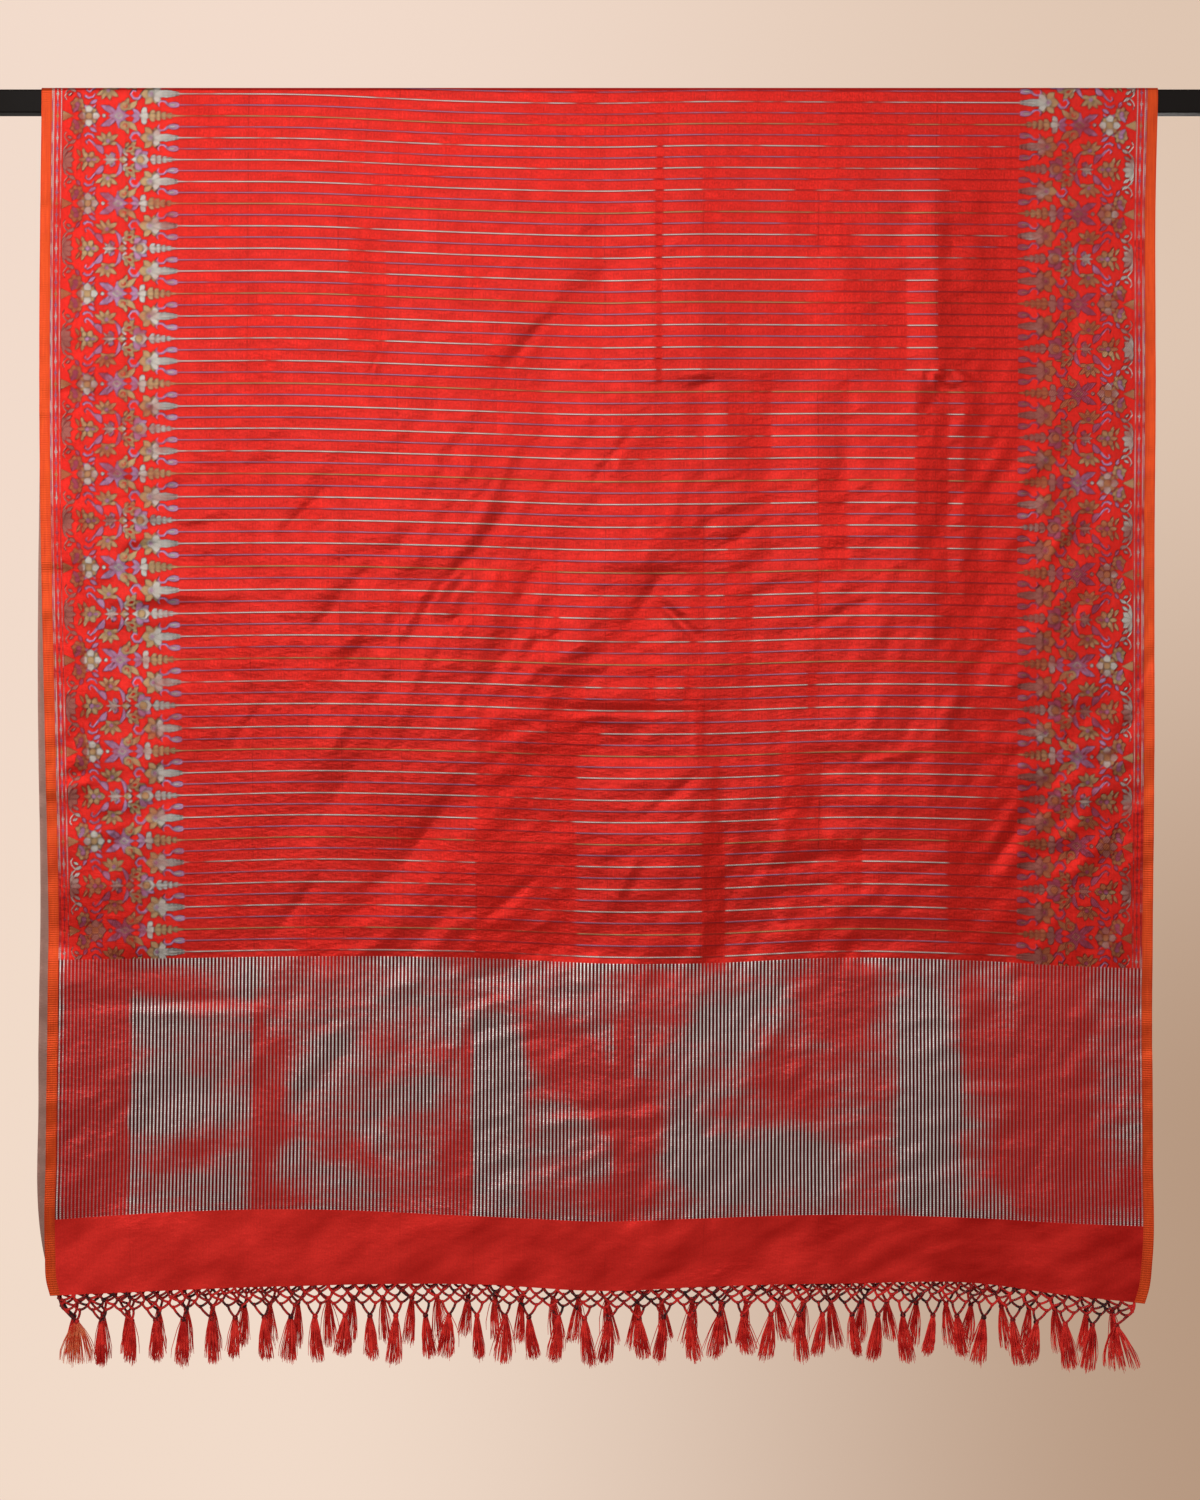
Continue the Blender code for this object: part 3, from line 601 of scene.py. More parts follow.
def brocadeGround():
    # Satin with the field's weft stripes and, near each edge, two dotted lines and a beaded line, with
    # painted shade between dashes, a painted shadow below each stripe and painted sheen from the shine
    # attribute.
    material, tree = newMaterial("brocade ground")
    across, along, inward, streaks, mottle = clothBase(tree)
    shine = shineHere(tree, mottle)
    number, offset = stripeParts(tree, along)
    far = calc(tree, "ABSOLUTE", offset)
    isGold = calc(tree, "LESS_THAN", number, 0.5)
    isLilac = calc(tree, "GREATER_THAN", calc(tree, "FLOORED_MODULO", number, 2.0), 0.5)
    dash = dashes(tree, across, "stripe", offset)
    inField = calc(tree, "GREATER_THAN", inward, guard["spires"])
    stripe = times(tree, softMask(tree, far, guard["stripeHalf"], 0.15), inField)
    toBeads = away(tree, inward, guard["beads"])
    toBead = calc(tree, "ADD", *(calc(tree, "DIVIDE", value, guard[reach])
                                 for value, reach in ((toBeads, "beadIn"), (far, "beadAlong"))))
    beads = softMask(tree, toBead, 1.0, 0.10)
    beadLine = calc(tree, "MAXIMUM", beads, softMask(tree, toBeads, guard["beadLineHalf"]))
    dotted = calc(tree, "MAXIMUM", *(softMask(tree, away(tree, inward, guard[line]), guard["dottedHalf"])
                                     for line in ("outer", "inner")))
    tick = dashes(tree, along, "guard", inward)
    seam = softMask(tree, away(tree, inward, guard["seam"]), guard["seamHalf"])
    lines = calc(tree, "MAXIMUM", calc(tree, "MAXIMUM", beadLine, dotted), seam)
    white, lilac, gold = (tone(tree, name + "chain", shine) for name in ("", "lilac ", "gold "))
    # The stripe gap colour is painted shade between the dashes, darker where the sheen is painted.
    gap = tone(tree, "stripe gap", shine)
    thread = mixColour(tree, isGold, mixColour(tree, isLilac, white, lilac), gold)
    stripes = mixColour(tree, dash, gap, thread)
    # A painted shadow band just below each stripe in the field.
    shadow = softMask(tree, away(tree, offset, guard["shadowFrom"]), guard["shadowHalf"], 0.25)
    guards = mixColour(tree, tick, gap, mixColour(tree, dotted, thread, white))
    bright = scaled(tree, inField, -guard["brighter"], calc(tree, "ADD", streaks, guard["brighter"]))
    ground = mixColour(tree, times(tree, shadow, times(tree, inField, guard["shadowShare"])),
                       shaded(tree, tone(tree, "ground", shine), bright), gap)
    colour = mixColour(tree, lines, mixColour(tree, stripe, ground, stripes), guards)
    height = scaled(tree, stripe, 0.25, creped(tree, across, along))
    satinShader(tree, colour, height, mottle)
    return material


def motifThread(name):
    # Inlaid weft floats in fine twill, with painted shade between them and painted sheen from the shine
    # attribute.
    material, tree = newMaterial(name + " motif thread")
    across, along, _, streaks, mottle = clothBase(tree)
    shine = shineHere(tree, mottle)
    floats = times(tree, dashes(tree, across, name, along), dashes(tree, along, "pick"))
    colour = mixColour(tree, floats, tone(tree, "gap", shine), tone(tree, name, shine))
    satinShader(tree, shaded(tree, colour, streaks), creped(tree, across, along), mottle)
    return material


def shadeGapThread():
    # The painted shadow rim where an inlaid shape ends, a dark line.
    material, tree = newMaterial("motif outline")
    _, _, _, streaks, mottle = clothBase(tree)
    satinShader(tree, shaded(tree, tone(tree, "gap", shineHere(tree, mottle)), streaks), streaks, mottle)
    return material


rope = {"first": 10.6, "pitch": 3.13, "half": 0.60}


def palluWeave():
    # Silver ropes down the warp, each of slanted dashes with painted shade between them; the ropes' painted
    # sheen and the ground painted darker where they shine follow the shine attribute.
    material, tree = newMaterial("pallu ropes")
    across, along, _, streaks, mottle = clothBase(tree)
    shine = shineHere(tree, speckle(tree, across, along, "rope glints"), 0.45, 0.05, 0.88)
    _, offset = nearestLine(tree, across, rope["pitch"], rope["first"])
    dash = dashes(tree, along, "rope", offset)
    line = softMask(tree, calc(tree, "ABSOLUTE", offset), rope["half"], 0.14)
    ropes = mixColour(tree, dash, tone(tree, "gap", shine), tone(tree, "silver", shine))
    ground = shaded(tree, tone(tree, "palluGround", shine), streaks)
    height = scaled(tree, line, 0.4, creped(tree, across, along))
    satinShader(tree, mixColour(tree, line, ground, ropes), height, mottle)
    return material


def plainSatin():
    # End band: its colour is painted light and shade, lighter towards the left and in diagonal bands from the
    # slanted light noise.
    material, tree = newMaterial("end band satin")
    across, along, _, streaks, mottle = clothBase(tree)
    paintedLightFromLeft = scaled(tree, across, -0.001 / cloth["width"], 1.0)
    down, aside = scaled(tree, along, -1.1, across), scaled(tree, across, 0.6, along)
    slanted = speckle(tree, down, aside, "slanted light")
    light = scaled(tree, slanted, 1.4, scaled(tree, paintedLightFromLeft, 0.55, -0.48))
    faint = scaled(tree, streaks, 0.4, 0.3)
    colour = shaded(tree, tone(tree, "plain", light), faint)
    satinShader(tree, colour, creped(tree, across, along), mottle, 0.2)
    return material


selvedgeWeave = {"rib": 1.9, "cords": (0.5, 8.3), "cordHalf": 0.5, "cordDim": 0.25}


def orangeRib():
    # Close ribs across the selvedge, a cord along each of its edges and darker rubbed places.
    material, tree = newMaterial("orange selvedge")
    across, along, inward = clothPlace(tree)
    ribs = calc(tree, "SINE", times(tree, along, 2 * math.pi / selvedgeWeave["rib"]))
    patches = speckle(tree, across, along, "rubbed")
    cords = calc(tree, "MAXIMUM", *(softMask(tree, away(tree, inward, place), selvedgeWeave["cordHalf"], 0.3)
                                    for place in selvedgeWeave["cords"]))
    threads = speckle(tree, across, along, "rib threads")
    light = scaled(tree, patches, 0.9, scaled(tree, threads, 0.8, -0.35))
    colour = tone(tree, "orange", scaled(tree, cords, -selvedgeWeave["cordDim"], light))
    satinShader(tree, colour, scaled(tree, ribs, 0.25, patches), patches, 0.35, 0.0004)
    return material


def reverseSatin():
    # The wrong side, pale with the floats of every colour.
    material, tree = newMaterial("reverse side")
    across, along, _ = clothPlace(tree)
    floats = speckle(tree, across, along, "floats")
    patches = speckle(tree, across, along, "faded")
    light = scaled(tree, floats, 0.8, scaled(tree, patches, 0.8, -0.3))
    satinShader(tree, tone(tree, "reverse", light), floats, patches, 0.3, 0.0003)
    return material


# Dyed threads: a painted shade colour for their hollows and a painted light colour for full light, mixed by
# noise.
threadShadeAndLight = {
    "net cord": ((0.010, 0.001, 0.002, 1), (0.80, 0.016, 0.012, 1)),
    "red thread": ((0.62, 0.008, 0.006, 1), (1.00, 0.050, 0.034, 1)),
    "orange thread": ((0.80, 0.050, 0.018, 1), (1.00, 0.260, 0.110, 1)),
}
rodLook = {"dark": (0.006, 0.004, 0.0035, 1), "worn": (0.011, 0.008, 0.007, 1), "specular": 0.12}


def noise(tree, scale, detail):
    place = put(tree, "ShaderNodeTexCoord").outputs["Object"]
    made = put(tree, "ShaderNodeTexNoise", feeds={"Vector": place, "Scale": scale, "Detail": detail})
    return made.outputs[0]


def fibreMaterial(name, dark, light):
    # Twisted or combed thread, its painted shade and painted light colours mixed by noise, streaked along its
    # own length and varied from strand to strand.
    material, tree = newMaterial(name)
    grain, clumps = noise(tree, 900.0, 2.0), noise(tree, 120.0, 1.0)
    blend = eased(tree, scaled(tree, grain, 0.5, times(tree, clumps, 0.5)), 0.40, 0.60)
    finishShader(tree, mixColour(tree, blend, dark, light), 0.5, 0.3, grain, 0.5, 0.0002)
    return material


def rodPaint():
    material, tree = newMaterial("black rod paint")
    grain, wear = noise(tree, 1600.0, 2.0), noise(tree, 22.0, 4.0)
    colour = mixColour(tree, wear, rodLook["dark"], rodLook["worn"])
    finishShader(tree, colour, scaled(tree, wear, 0.2, 0.40), rodLook["specular"], grain, 0.25, 0.0002)
    return material


materials = {
    "ground": brocadeGround(), "white": motifThread("white"), "lilac": motifThread("lilac"),
    "gold": motifThread("gold"), "gap": shadeGapThread(), "pallu": palluWeave(), "plain": plainSatin(),
    "orange": orangeRib(), "reverse": reverseSatin(), "rod": rodPaint(),
}
for name, (dark, light) in threadShadeAndLight.items():
    materials[name] = fibreMaterial(name, dark, light)
print("materials made:", len(materials))


def addObject(name, mesh):
    thing = bpy.data.objects.new(name, mesh)
    scene.collection.objects.link(thing)
    return thing


def evaluated(thing):
    # The object's mesh with its modifiers done, in a fresh plain object of the same name.
    mesh = bpy.data.meshes.new_from_object(thing.evaluated_get(bpy.context.evaluated_depsgraph_get()))
    name = thing.name
    bpy.data.objects.remove(thing, do_unlink=True)
    mesh.name = name
    return addObject(name, mesh)


def flatGrid(columns, rows):
    # A flat sheet, x across the cloth and y up it, so that y is minus the drop.
    across, drop = np.meshgrid(columns, rows)
    points = np.stack([across.ravel(), -drop.ravel(), np.zeros(across.size)], axis=1)
    wide, tall = len(columns), len(rows)
    corner = (np.arange(tall - 1)[:, None] * wide + np.arange(wide - 1)[None, :]).ravel()
    quads = np.stack([corner, corner + wide, corner + wide + 1, corner + 1], axis=1)
    mesh = bpy.data.meshes.new("flat")
    mesh.from_pydata(points.tolist(), [], quads.tolist())
    return mesh


def evenLines(start, end, step):
    return np.linspace(start, end, max(2, round((end - start) / step) + 1))


def dropRows(start, end, step):
    # Rows down a fall, with three faces round the rod's edge where the sheet passes it.
    if start < turnDrop:
        return np.concatenate([evenLines(topDrop, turnDrop, 0.0009)[:-1], evenLines(turnDrop, end, step)])
    return evenLines(start, end, step)


def edgeLoop(mesh):
    # The open sheet's edge, as pairs of vertex numbers that run round it the way its faces do.
    counts, directed = {}, []
    for polygon in mesh.polygons:
        corners = list(polygon.vertices)
        directed += zip(corners, corners[1:] + corners[:1])
    for pair in directed:
        counts[frozenset(pair)] = counts.get(frozenset(pair), 0) + 1
    return [pair for pair in directed if counts[frozenset(pair)] == 1]


def backing(mesh, step):
    # A plainer sheet with the same edge: its places, its triangles and which of its vertices are edge ones.
    rim = edgeLoop(mesh)
    numbers = sorted({number for pair in rim for number in pair})
    order = {number: place for place, number in enumerate(numbers)}
    places = [tuple(mesh.vertices[number].co[:2]) for number in numbers]
    margin = step * 0.55
    low, high = np.min(places, axis=0) + margin, np.max(places, axis=0) - margin
    if (high > low).all():
        spans = [np.linspace(low[i], high[i], max(2, round((high[i] - low[i]) / step))) for i in (0, 1)]
        places += [(x, y) for x in spans[0] for y in spans[1]]
    sides = [(order[a], order[b]) for a, b in rim]
    made = geometry.delaunay_2d_cdt([Vector(place) for place in places], sides, [], 1, 1e-7)
    sources = [min(source) if source else -1 for source in made[3]]
    edge = {numbers[source]: number for number, source in enumerate(sources) if 0 <= source < len(numbers)}
    return np.array([tuple(place) for place in made[0]]), [list(corners) for corners in made[2]], rim, edge


def hungPlace(fall, across, drop):
    return topPlace(across, drop) if fall == "top" else fallPlace(fall, across, drop)


def drapeOf(fall, across, drop):
    # Places on the hung cloth and the way out of it.
    near = 0.0004
    wide = hungPlace(fall, across + near, drop) - hungPlace(fall, across - near, drop)
    down = hungPlace(fall, across, drop + near) - hungPlace(fall, across, drop - near)
    ways = np.cross(down, wide)
    ways /= np.linalg.norm(ways, axis=1, keepdims=True)
    return hungPlace(fall, across, drop), ways * (-1 if fall == "back" else 1)


def flatPlaces(mesh):
    # The mesh's own x and y.
    flat = np.empty(len(mesh.vertices) * 3)
    mesh.vertices.foreach_get("co", flat)
    return flat[0::3], flat[1::3]


def hang(name, mesh, fall, slots, insideStep=0.0068):
    # Drapes a flat sheet on its fall as a thin closed cloth, plainer inside, with its cloth map and its
    # shine attribute, the painted sheen map.
    inside, insideFaces, rim, edge = backing(mesh, insideStep)
    count = len(mesh.vertices)
    weaveFall = "front" if fall == "top" else fall
    across, upwards = (np.concatenate([outer, inside[:, i]]) for i, outer in enumerate(flatPlaces(mesh)))
    drop = -upwards
    places, ways = drapeOf(fall, across, drop)
    places[count:] -= ways[count:] * cloth["thickness"]
    faces = [list(polygon.vertices) for polygon in mesh.polygons]
    threads = [polygon.material_index for polygon in mesh.polygons]
    outward = [1] * len(faces) + [-1] * len(insideFaces) + [0] * len(rim)
    faces += [[count + number for number in corners][::-1] for corners in insideFaces]
    faces += [[b, a, count + edge[a], count + edge[b]] for a, b in rim]
    threads += [len(slots)] * len(insideFaces) + [0] * len(rim)
    made = bpy.data.meshes.new(name)
    made.from_pydata(places.tolist(), [], faces)
    if fall == "back":
        made.flip_normals()
    made.polygons.foreach_set("material_index", threads)
    corners = np.empty(len(made.loops), dtype=np.int64)
    made.loops.foreach_get("vertex_index", corners)
    along = patternPlace(weaveFall, across, drop)
    layer = made.uv_layers.new(name="cloth")
    layer.data.foreach_set("uv", np.stack([across[corners] + halfWidth, along[corners]], axis=1).ravel())
    shine = made.attributes.new("shine", "FLOAT", "POINT")
    shine.data.foreach_set("value", atPlace(shines[weaveFall], across, drop).astype(np.float32))
    for slot in [*slots, "reverse"]:
        made.materials.append(materials[slot])
    made.shade_smooth()
    made.set_sharp_from_angle(angle=math.radians(45))
    turned = np.repeat(outward, [len(polygon) for polygon in faces])[:, None] * ways[corners]
    made.normals_split_custom_set(turned.tolist())
    made.update()
    return addObject(name, made)


def declare(thing, node):
    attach(thing, "root")
    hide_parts(node)


panels = {"step": {"front": 0.0032, "back": 0.0055}, "selvedgeStep": 0.003, "leastWide": 0.010}


def makePanels(fall):
    rows = {
        "field": (-fieldEdge, fieldEdge, topDrop, cloth["fieldEnd"], "ground", "red_satin"),
        "pallu": (-borderEdge, borderEdge, cloth["fieldEnd"], cloth["palluEnd"], "pallu", "silver_zigzag"),
        "end_band": (-borderEdge, borderEdge, cloth["palluEnd"], cloth["hem"], "plain", "plain_red"),
        "selvedge_left": (-halfWidth, -borderEdge, topDrop, cloth["hem"], "orange", "orange_selvedge"),
        "selvedge_right": (borderEdge, halfWidth, topDrop, cloth["hem"], "orange", "orange_selvedge"),
    }
    for part, (left, right, top, bottom, material, slot) in rows.items():
        step = panels["selvedgeStep"] if "selvedge" in part else panels["step"][fall]
        mesh = flatGrid(evenLines(left, right, step), dropRows(top, bottom, panels["step"][fall]))
        name = f"{fall}_{part}"
        thing = hang(name + "_cloth", mesh, fall, [material])
        declare(thing, name)
        print(name, len(thing.data.polygons), "faces")


makePanels("front")
makePanels("back")


# The border's flowers, in millimetres: along the warp from axis A, then in from the cloth's edge.
halfRepeat = weave["repeat"] * 500
quarter = halfRepeat / 2


def blade(base, tip, width, bend, steps, towardsTip, fullness):
    # A closed shape round a spine that is bowed sideways by bend.
    base, tip = np.array(base, float), np.array(tip, float)
    side = np.array([-(tip - base)[1], (tip - base)[0]]) / np.linalg.norm(tip - base)
    parts = np.linspace(0, 1, steps + 1)[:, None]
    spine = base + (tip - base) * parts + side * bend * 4 * parts * (1 - parts)
    half = side * width / 2 * np.sin(math.pi * parts**towardsTip) ** fullness
    return np.concatenate([(spine + half)[:-1], (spine - half)[1:][::-1]])


def leaf(base, tip, width, bend=0.0, steps=4):
    return blade(base, tip, width, bend, steps, 1.0, 0.8)  # pointed at both ends


def petal(base, tip, width):
    return blade(base, tip, width, 0.0, 4, 1.6, 0.7)  # round at the tip


def disc(centre, radius, corners=7):
    turns = np.arange(corners) * 2 * math.pi / corners
    return np.stack([centre[0] + radius * np.cos(turns), centre[1] + radius * np.sin(turns)], axis=1)


def diamond(centre, halfAlong, halfIn):
    reaches = [(-halfAlong, 0), (0, -halfIn), (halfAlong, 0), (0, halfIn)]
    return np.array([(centre[0] + along, centre[1] + inward) for along, inward in reaches], float)


def scroll(path, width):
    # A tapering stroke along a bent path.
    path = np.array(path, float)
    ways = np.gradient(path, axis=0)
    ways /= np.linalg.norm(ways, axis=1, keepdims=True)
    side = np.stack([-ways[:, 1], ways[:, 0]], axis=1)
    half = side * width / 2 * np.linspace(1.0, 0.45, len(path))[:, None]
    return np.concatenate([path + half, (path - half)[::-1]])


def star(centre, alongReach, inReach, waist):
    arms = [(alongReach, 0), (waist, waist), (0, inReach), (-waist, waist),
            (-alongReach, 0), (-waist, -waist), (0, -inReach), (waist, -waist)]
    return np.array([(centre[0] + along, centre[1] + inward) for along, inward in arms], float)


def rosette(centre, petals, reach, width, turn=0.0):
    shapes = []
    for number in range(petals):
        angle = turn + number * 2 * math.pi / petals
        tip = (centre[0] + reach * math.cos(angle), centre[1] + reach * math.sin(angle))
        shapes.append(petal(centre, tip, width))
    return shapes


def spire(axis, start, end, width):
    # Small petals laid over each other like scales, fewer and narrower towards a long point.
    shapes = [leaf((axis, (start + end) / 2 - 2), (axis, end + 3), width * 0.20, 0.0, 3)]
    for part in (0.62, 0.44, 0.26, 0.08):
        level = start + (end - start) * part
        reach = width / 2 * (1 - 0.92 * part)
        for side in (-1, 1):
            shapes.append(petal((axis + side * 0.2, level), (axis + side * reach, level + 5.4), reach * 0.72))
        shapes.append(petal((axis, level - 0.6), (axis, level + 6.4), reach * 0.80))
    return shapes


def flowersOfAxisA():
    return [
        ("white", [petal((0.5, 19), (9.6, 21.6), 3.4), petal((0.6, 19.5), (6.4, 26.6), 4.2),
                   petal((0, 18.8), (0, 28.6), 4.6)]),
        ("gold", [leaf((2.4, 33.6), (9.0, 30.4), 2.6, 0.6), leaf((3.4, 36.6), (10.2, 35.6), 2.8, 0.4),
                  petal((0.4, 39.5), (6.4, 37.0), 4.4), petal((0.4, 40.5), (6.8, 44.8), 4.8),
                  leaf((0, 32), (0, 39), 3.6), petal((0, 41), (0, 50.5), 6.0)]),
        ("lilac", [disc((0, 40.6), 2.0), diamond((0, 45.6), 1.3, 2.4)]),
        ("lilac", [leaf((4.4, 53.0), (12.6, 45.6), 5.0, 1.6),
                   scroll([(11.8, 46.4), (15.0, 43.8), (17.4, 40.8), (15.8, 38.4), (13.6, 39.6)], 2.0)]),
        ("white", [leaf((0, 59.2), (5.0, 54.6), 1.8), leaf((0, 59.2), (5.0, 63.8), 1.8),
                   diamond((0, 59.2), 6.2, 1.6), diamond((0, 59.2), 1.8, 6.6)]),
        ("lilac", [leaf((1.8, 67.6), (14.8, 63.6), 3.4, 2.2), leaf((2.2, 63.4), (6.6, 59.8), 2.2)]),
        ("gold", [diamond((0, 70.4), 3.2, 4.4)]),
        ("white", [diamond((0, 71.8), 1.6, 2.4),
                   scroll([(3.6, 73.6), (5.4, 71.2), (8.2, 70.6), (10.6, 73.0), (9.6, 76.0)], 2.0)]),
        ("gold", [leaf((9.4, 73.0), (15.2, 74.6), 3.4, -0.5), leaf((9.8, 76.0), (15.4, 80.8), 3.6, -0.5),
                  leaf((8.4, 77.0), (9.8, 85.6), 3.4), leaf((6.4, 76.0), (3.8, 80.6), 2.6),
                  petal((6.4, 70.8), (11.4, 80.2), 6.2)]),
        ("ground", [leaf((8.6, 74.4), (10.2, 78.2), 1.5)]),
        ("lilac", [petal((0.8, 80), (9.2, 85.5), 6.6), petal((0.8, 82), (6.8, 91.2), 4.8)]),
        ("white", [petal((0, 76.5), (0, 92.5), 9.6)]),
        ("gold", [disc((0, 84.8), 3.1, 9)]),
        ("white", spire(0, 90.5, 116, 9.0)),
    ]


def flowersOfAxisB():
    axis = halfRepeat
    return [
        ("gold", [np.array([(axis - 4.4, 18.4), (axis + 4.4, 18.4), (axis, 27.6)])]),
        ("lilac", [leaf((axis - 2.6, 27), (axis - 8.0, 32.4), 3.2, 0.6)]),
        ("gold", rosette((axis, 40.5), 4, 8.6, 4.2, math.pi / 4)),
        ("white", rosette((axis, 40.5), 4, 9.4, 6.4, 0.0)),
        ("gold", [disc((axis, 40.5), 3.0, 9)]),
        ("lilac", [leaf((axis - 1.4, 60.0), (axis - 9.0, 50.4), 4.4, -1.4),
                   leaf((axis - 5.0, 55.4), (axis - 9.6, 58.0), 2.0)]),
        ("white", [disc((axis, 53.4), 1.6)]),
        ("lilac", [leaf((axis - 2, 63.5), (axis - 8.4, 57.6), 3.0),
                   leaf((axis - 2, 68.5), (axis - 8.4, 74.0), 3.0), star((axis, 66), 11.4, 9.4, 2.9)]),
        ("white", [diamond((axis, 66), 3.2, 4.4)]),
        ("lilac", [diamond((axis, 66), 1.4, 2.0)]),
        ("gold", [leaf((axis - 6.0, 68.6), (axis - 13.6, 82.0), 5.2, -2.0),
                  disc((axis - 8.4, 70.8), 4.0, 9)]),
        ("ground", [scroll([(axis - 9.8, 72.4), (axis - 7.6, 72.6), (axis - 7.0, 70.4), (axis - 8.8, 69.6)],
                           1.1)]),
        ("lilac", [leaf((axis, 84.5), (axis - 6.4, 77.4), 3.6), diamond((axis, 80.2), 2.2, 4.0)]),
        ("white", [petal((axis - 0.6, 85), (axis - 7.6, 89), 4.8), petal((axis, 82.5), (axis, 92.5), 5.6)]),
        ("gold", spire(axis, 89.0, 116, 10.6)),
    ]


def flowersBetween():
    axis = quarter
    vine = [(2.5, 24.0), (4.8, 21.0), (8.2, 19.8), (11.8, 21.0),
            (14.4, 24.0), (17.6, 21.0), (21.2, 19.8), (24.0, 21.4)]
    curl = [(axis, 85.4), (axis + 4.2, 82.6), (axis + 4.0, 78.4),
            (axis + 0.2, 75.8), (axis - 3.0, 77.8), (axis - 1.8, 80.8)]
    shapes = [
        ("white", [scroll(vine, 1.9), leaf((7.8, 22.2), (11.4, 27.6), 2.8),
                   leaf((14.4, 23.4), (17.4, 29.4), 3.0, 0.6), leaf((20.4, 22.4), (18.4, 26.4), 2.2)]),
        ("gold", rosette((28.2, 30.6), 6, 6.4, 4.0, 0.3)),
        ("lilac", [disc((28.2, 30.6), 2.1)]),
        ("lilac", [scroll([(29.0, 37.0), (32.0, 39.6), (31.6, 43.4), (28.6, 46.4)], 2.2),
                   leaf((30.8, 42.6), (35.2, 47.6), 3.2), leaf((22.6, 33.4), (17.6, 30.8), 2.8)]),
        ("lilac", [leaf((24.0, 47.4), (27.8, 41.2), 3.2),
                   scroll([(20.6, 37.0), (22.6, 40.0), (21.6, 43.8), (18.6, 45.4)], 2.2)]),
        ("gold", [leaf((15.0, 54.0), (20.4, 46.8), 3.4, 0.6), leaf((15.6, 55.0), (23.8, 51.2), 3.6, 0.6),
                  leaf((16.0, 57.0), (24.6, 58.4), 3.8), leaf((15.6, 58.6), (21.6, 65.4), 3.8, -0.6),
                  leaf((13.6, 58.6), (14.4, 65.6), 3.2), petal((12.0, 52.0), (18.8, 60.0), 6.4)]),
        ("lilac", [disc((16.2, 57.0), 1.7, 7)]),
        ("lilac", [scroll(curl, 2.7)]),
        ("gold", [leaf((axis + 3.2, 74.2), (axis + 9.8, 71.8), 3.4)]),
        ("gold", [petal((axis, 97), (axis - 9.0, 88.2), 5.6), petal((axis, 97), (axis + 9.0, 88.2), 5.6),
                  petal((axis, 97), (axis, 84.2), 8.0), petal((axis, 96), (axis - 9.0, 97.4), 3.6),
                  petal((axis, 96), (axis + 9.0, 97.4), 3.6)]),
        ("white", [petal((axis, 93), (axis - 7.0, 101.6), 5.0), petal((axis, 93), (axis + 7.0, 101.6), 5.0),
                   disc((axis, 93.4), 3.1, 9), petal((axis, 95), (axis, 107), 6.4)]),
        ("lilac", [disc((axis, 93.4), 1.4, 6)]),
        ("white", spire(axis, 101, 119, 7.0)),
    ]
    for place, way in ((halfRepeat / 4, 1), (halfRepeat * 3 / 4, -1)):
        bends = [(0.0, 108.0), (3.0, 104.8), (3.2, 101.2), (0.4, 99.2), (-1.6, 100.6)]
        hook = [(place + aside * way, inward) for aside, inward in bends]
        shapes += [("lilac", [scroll(hook, 1.9), leaf((place, 106.4), (place, 119.6), 5.0)]),
                   ("white", [leaf((place, 108.6), (place, 114.6), 1.5)])]
    return shapes


# The painted shadow rim round each larger inlaid shape: its width in millimetres and the least area in square
# millimetres that gets one.
shadowRim = {"width": 0.58, "least": {"front": 2.6, "back": 40.0}}


def withShadowRim(shape):
    # The same outline moved outwards from its middle.
    spokes = shape - shape.mean(axis=0)
    lengths = np.linalg.norm(spokes, axis=1, keepdims=True)
    return shape + spokes / lengths * shadowRim["width"]


def areaOf(shape):
    there = np.roll(shape, -1, axis=0)
    return abs(float((shape[:, 0] * there[:, 1] - there[:, 0] * shape[:, 1]).sum())) / 2


def inlays(fall):
    # Every shape of half a repeat with its thread, lowest first, each over its own painted shadow rim, a dark
    # outline.
    for thread, shapes in flowersBetween() + flowersOfAxisA() + flowersOfAxisB():
        for shape in shapes:
            if areaOf(shape) > shadowRim["least"][fall]:
                yield "gap", withShadowRim(shape)
            yield thread, shape


def clipped(shape, low, high, axis):
    # The part of a closed outline between two level lines of one coordinate.
    for limit, sign in ((low, 1), (high, -1)):
        kept = []
        for here, there in zip(shape, np.roll(shape, -1, axis=0)):
            a, b = (here[axis] - limit) * sign, (there[axis] - limit) * sign
            if a >= 0:
                kept.append(here)
            if a * b < 0:
                kept.append(here + (there - here) * a / (a - b))
        shape = np.array(kept)
        if len(shape) < 3:
            return None
    return shape


def insideOf(shape, points):
    # For each point, whether a closed outline goes round it.
    within = np.zeros(len(points), bool)
    for here, there in zip(shape, np.roll(shape, -1, axis=0)):
        spans = (here[1] > points[:, 1]) != (there[1] > points[:, 1])
        crossing = here[0] + (points[:, 1] - here[1]) * (there[0] - here[0]) / (there[1] - here[1] + 1e-12)
        within ^= spans & (points[:, 0] < crossing)
    return within


tile = {"grid": 4.8, "columns": 9, "inner": 9.0, "outer": 117.0, "weld": 0.02, "snap": 0.08,
        "repeats": 11, "seamWeld": 0.00005, "threads": ["ground", "white", "lilac", "gold", "gap"]}


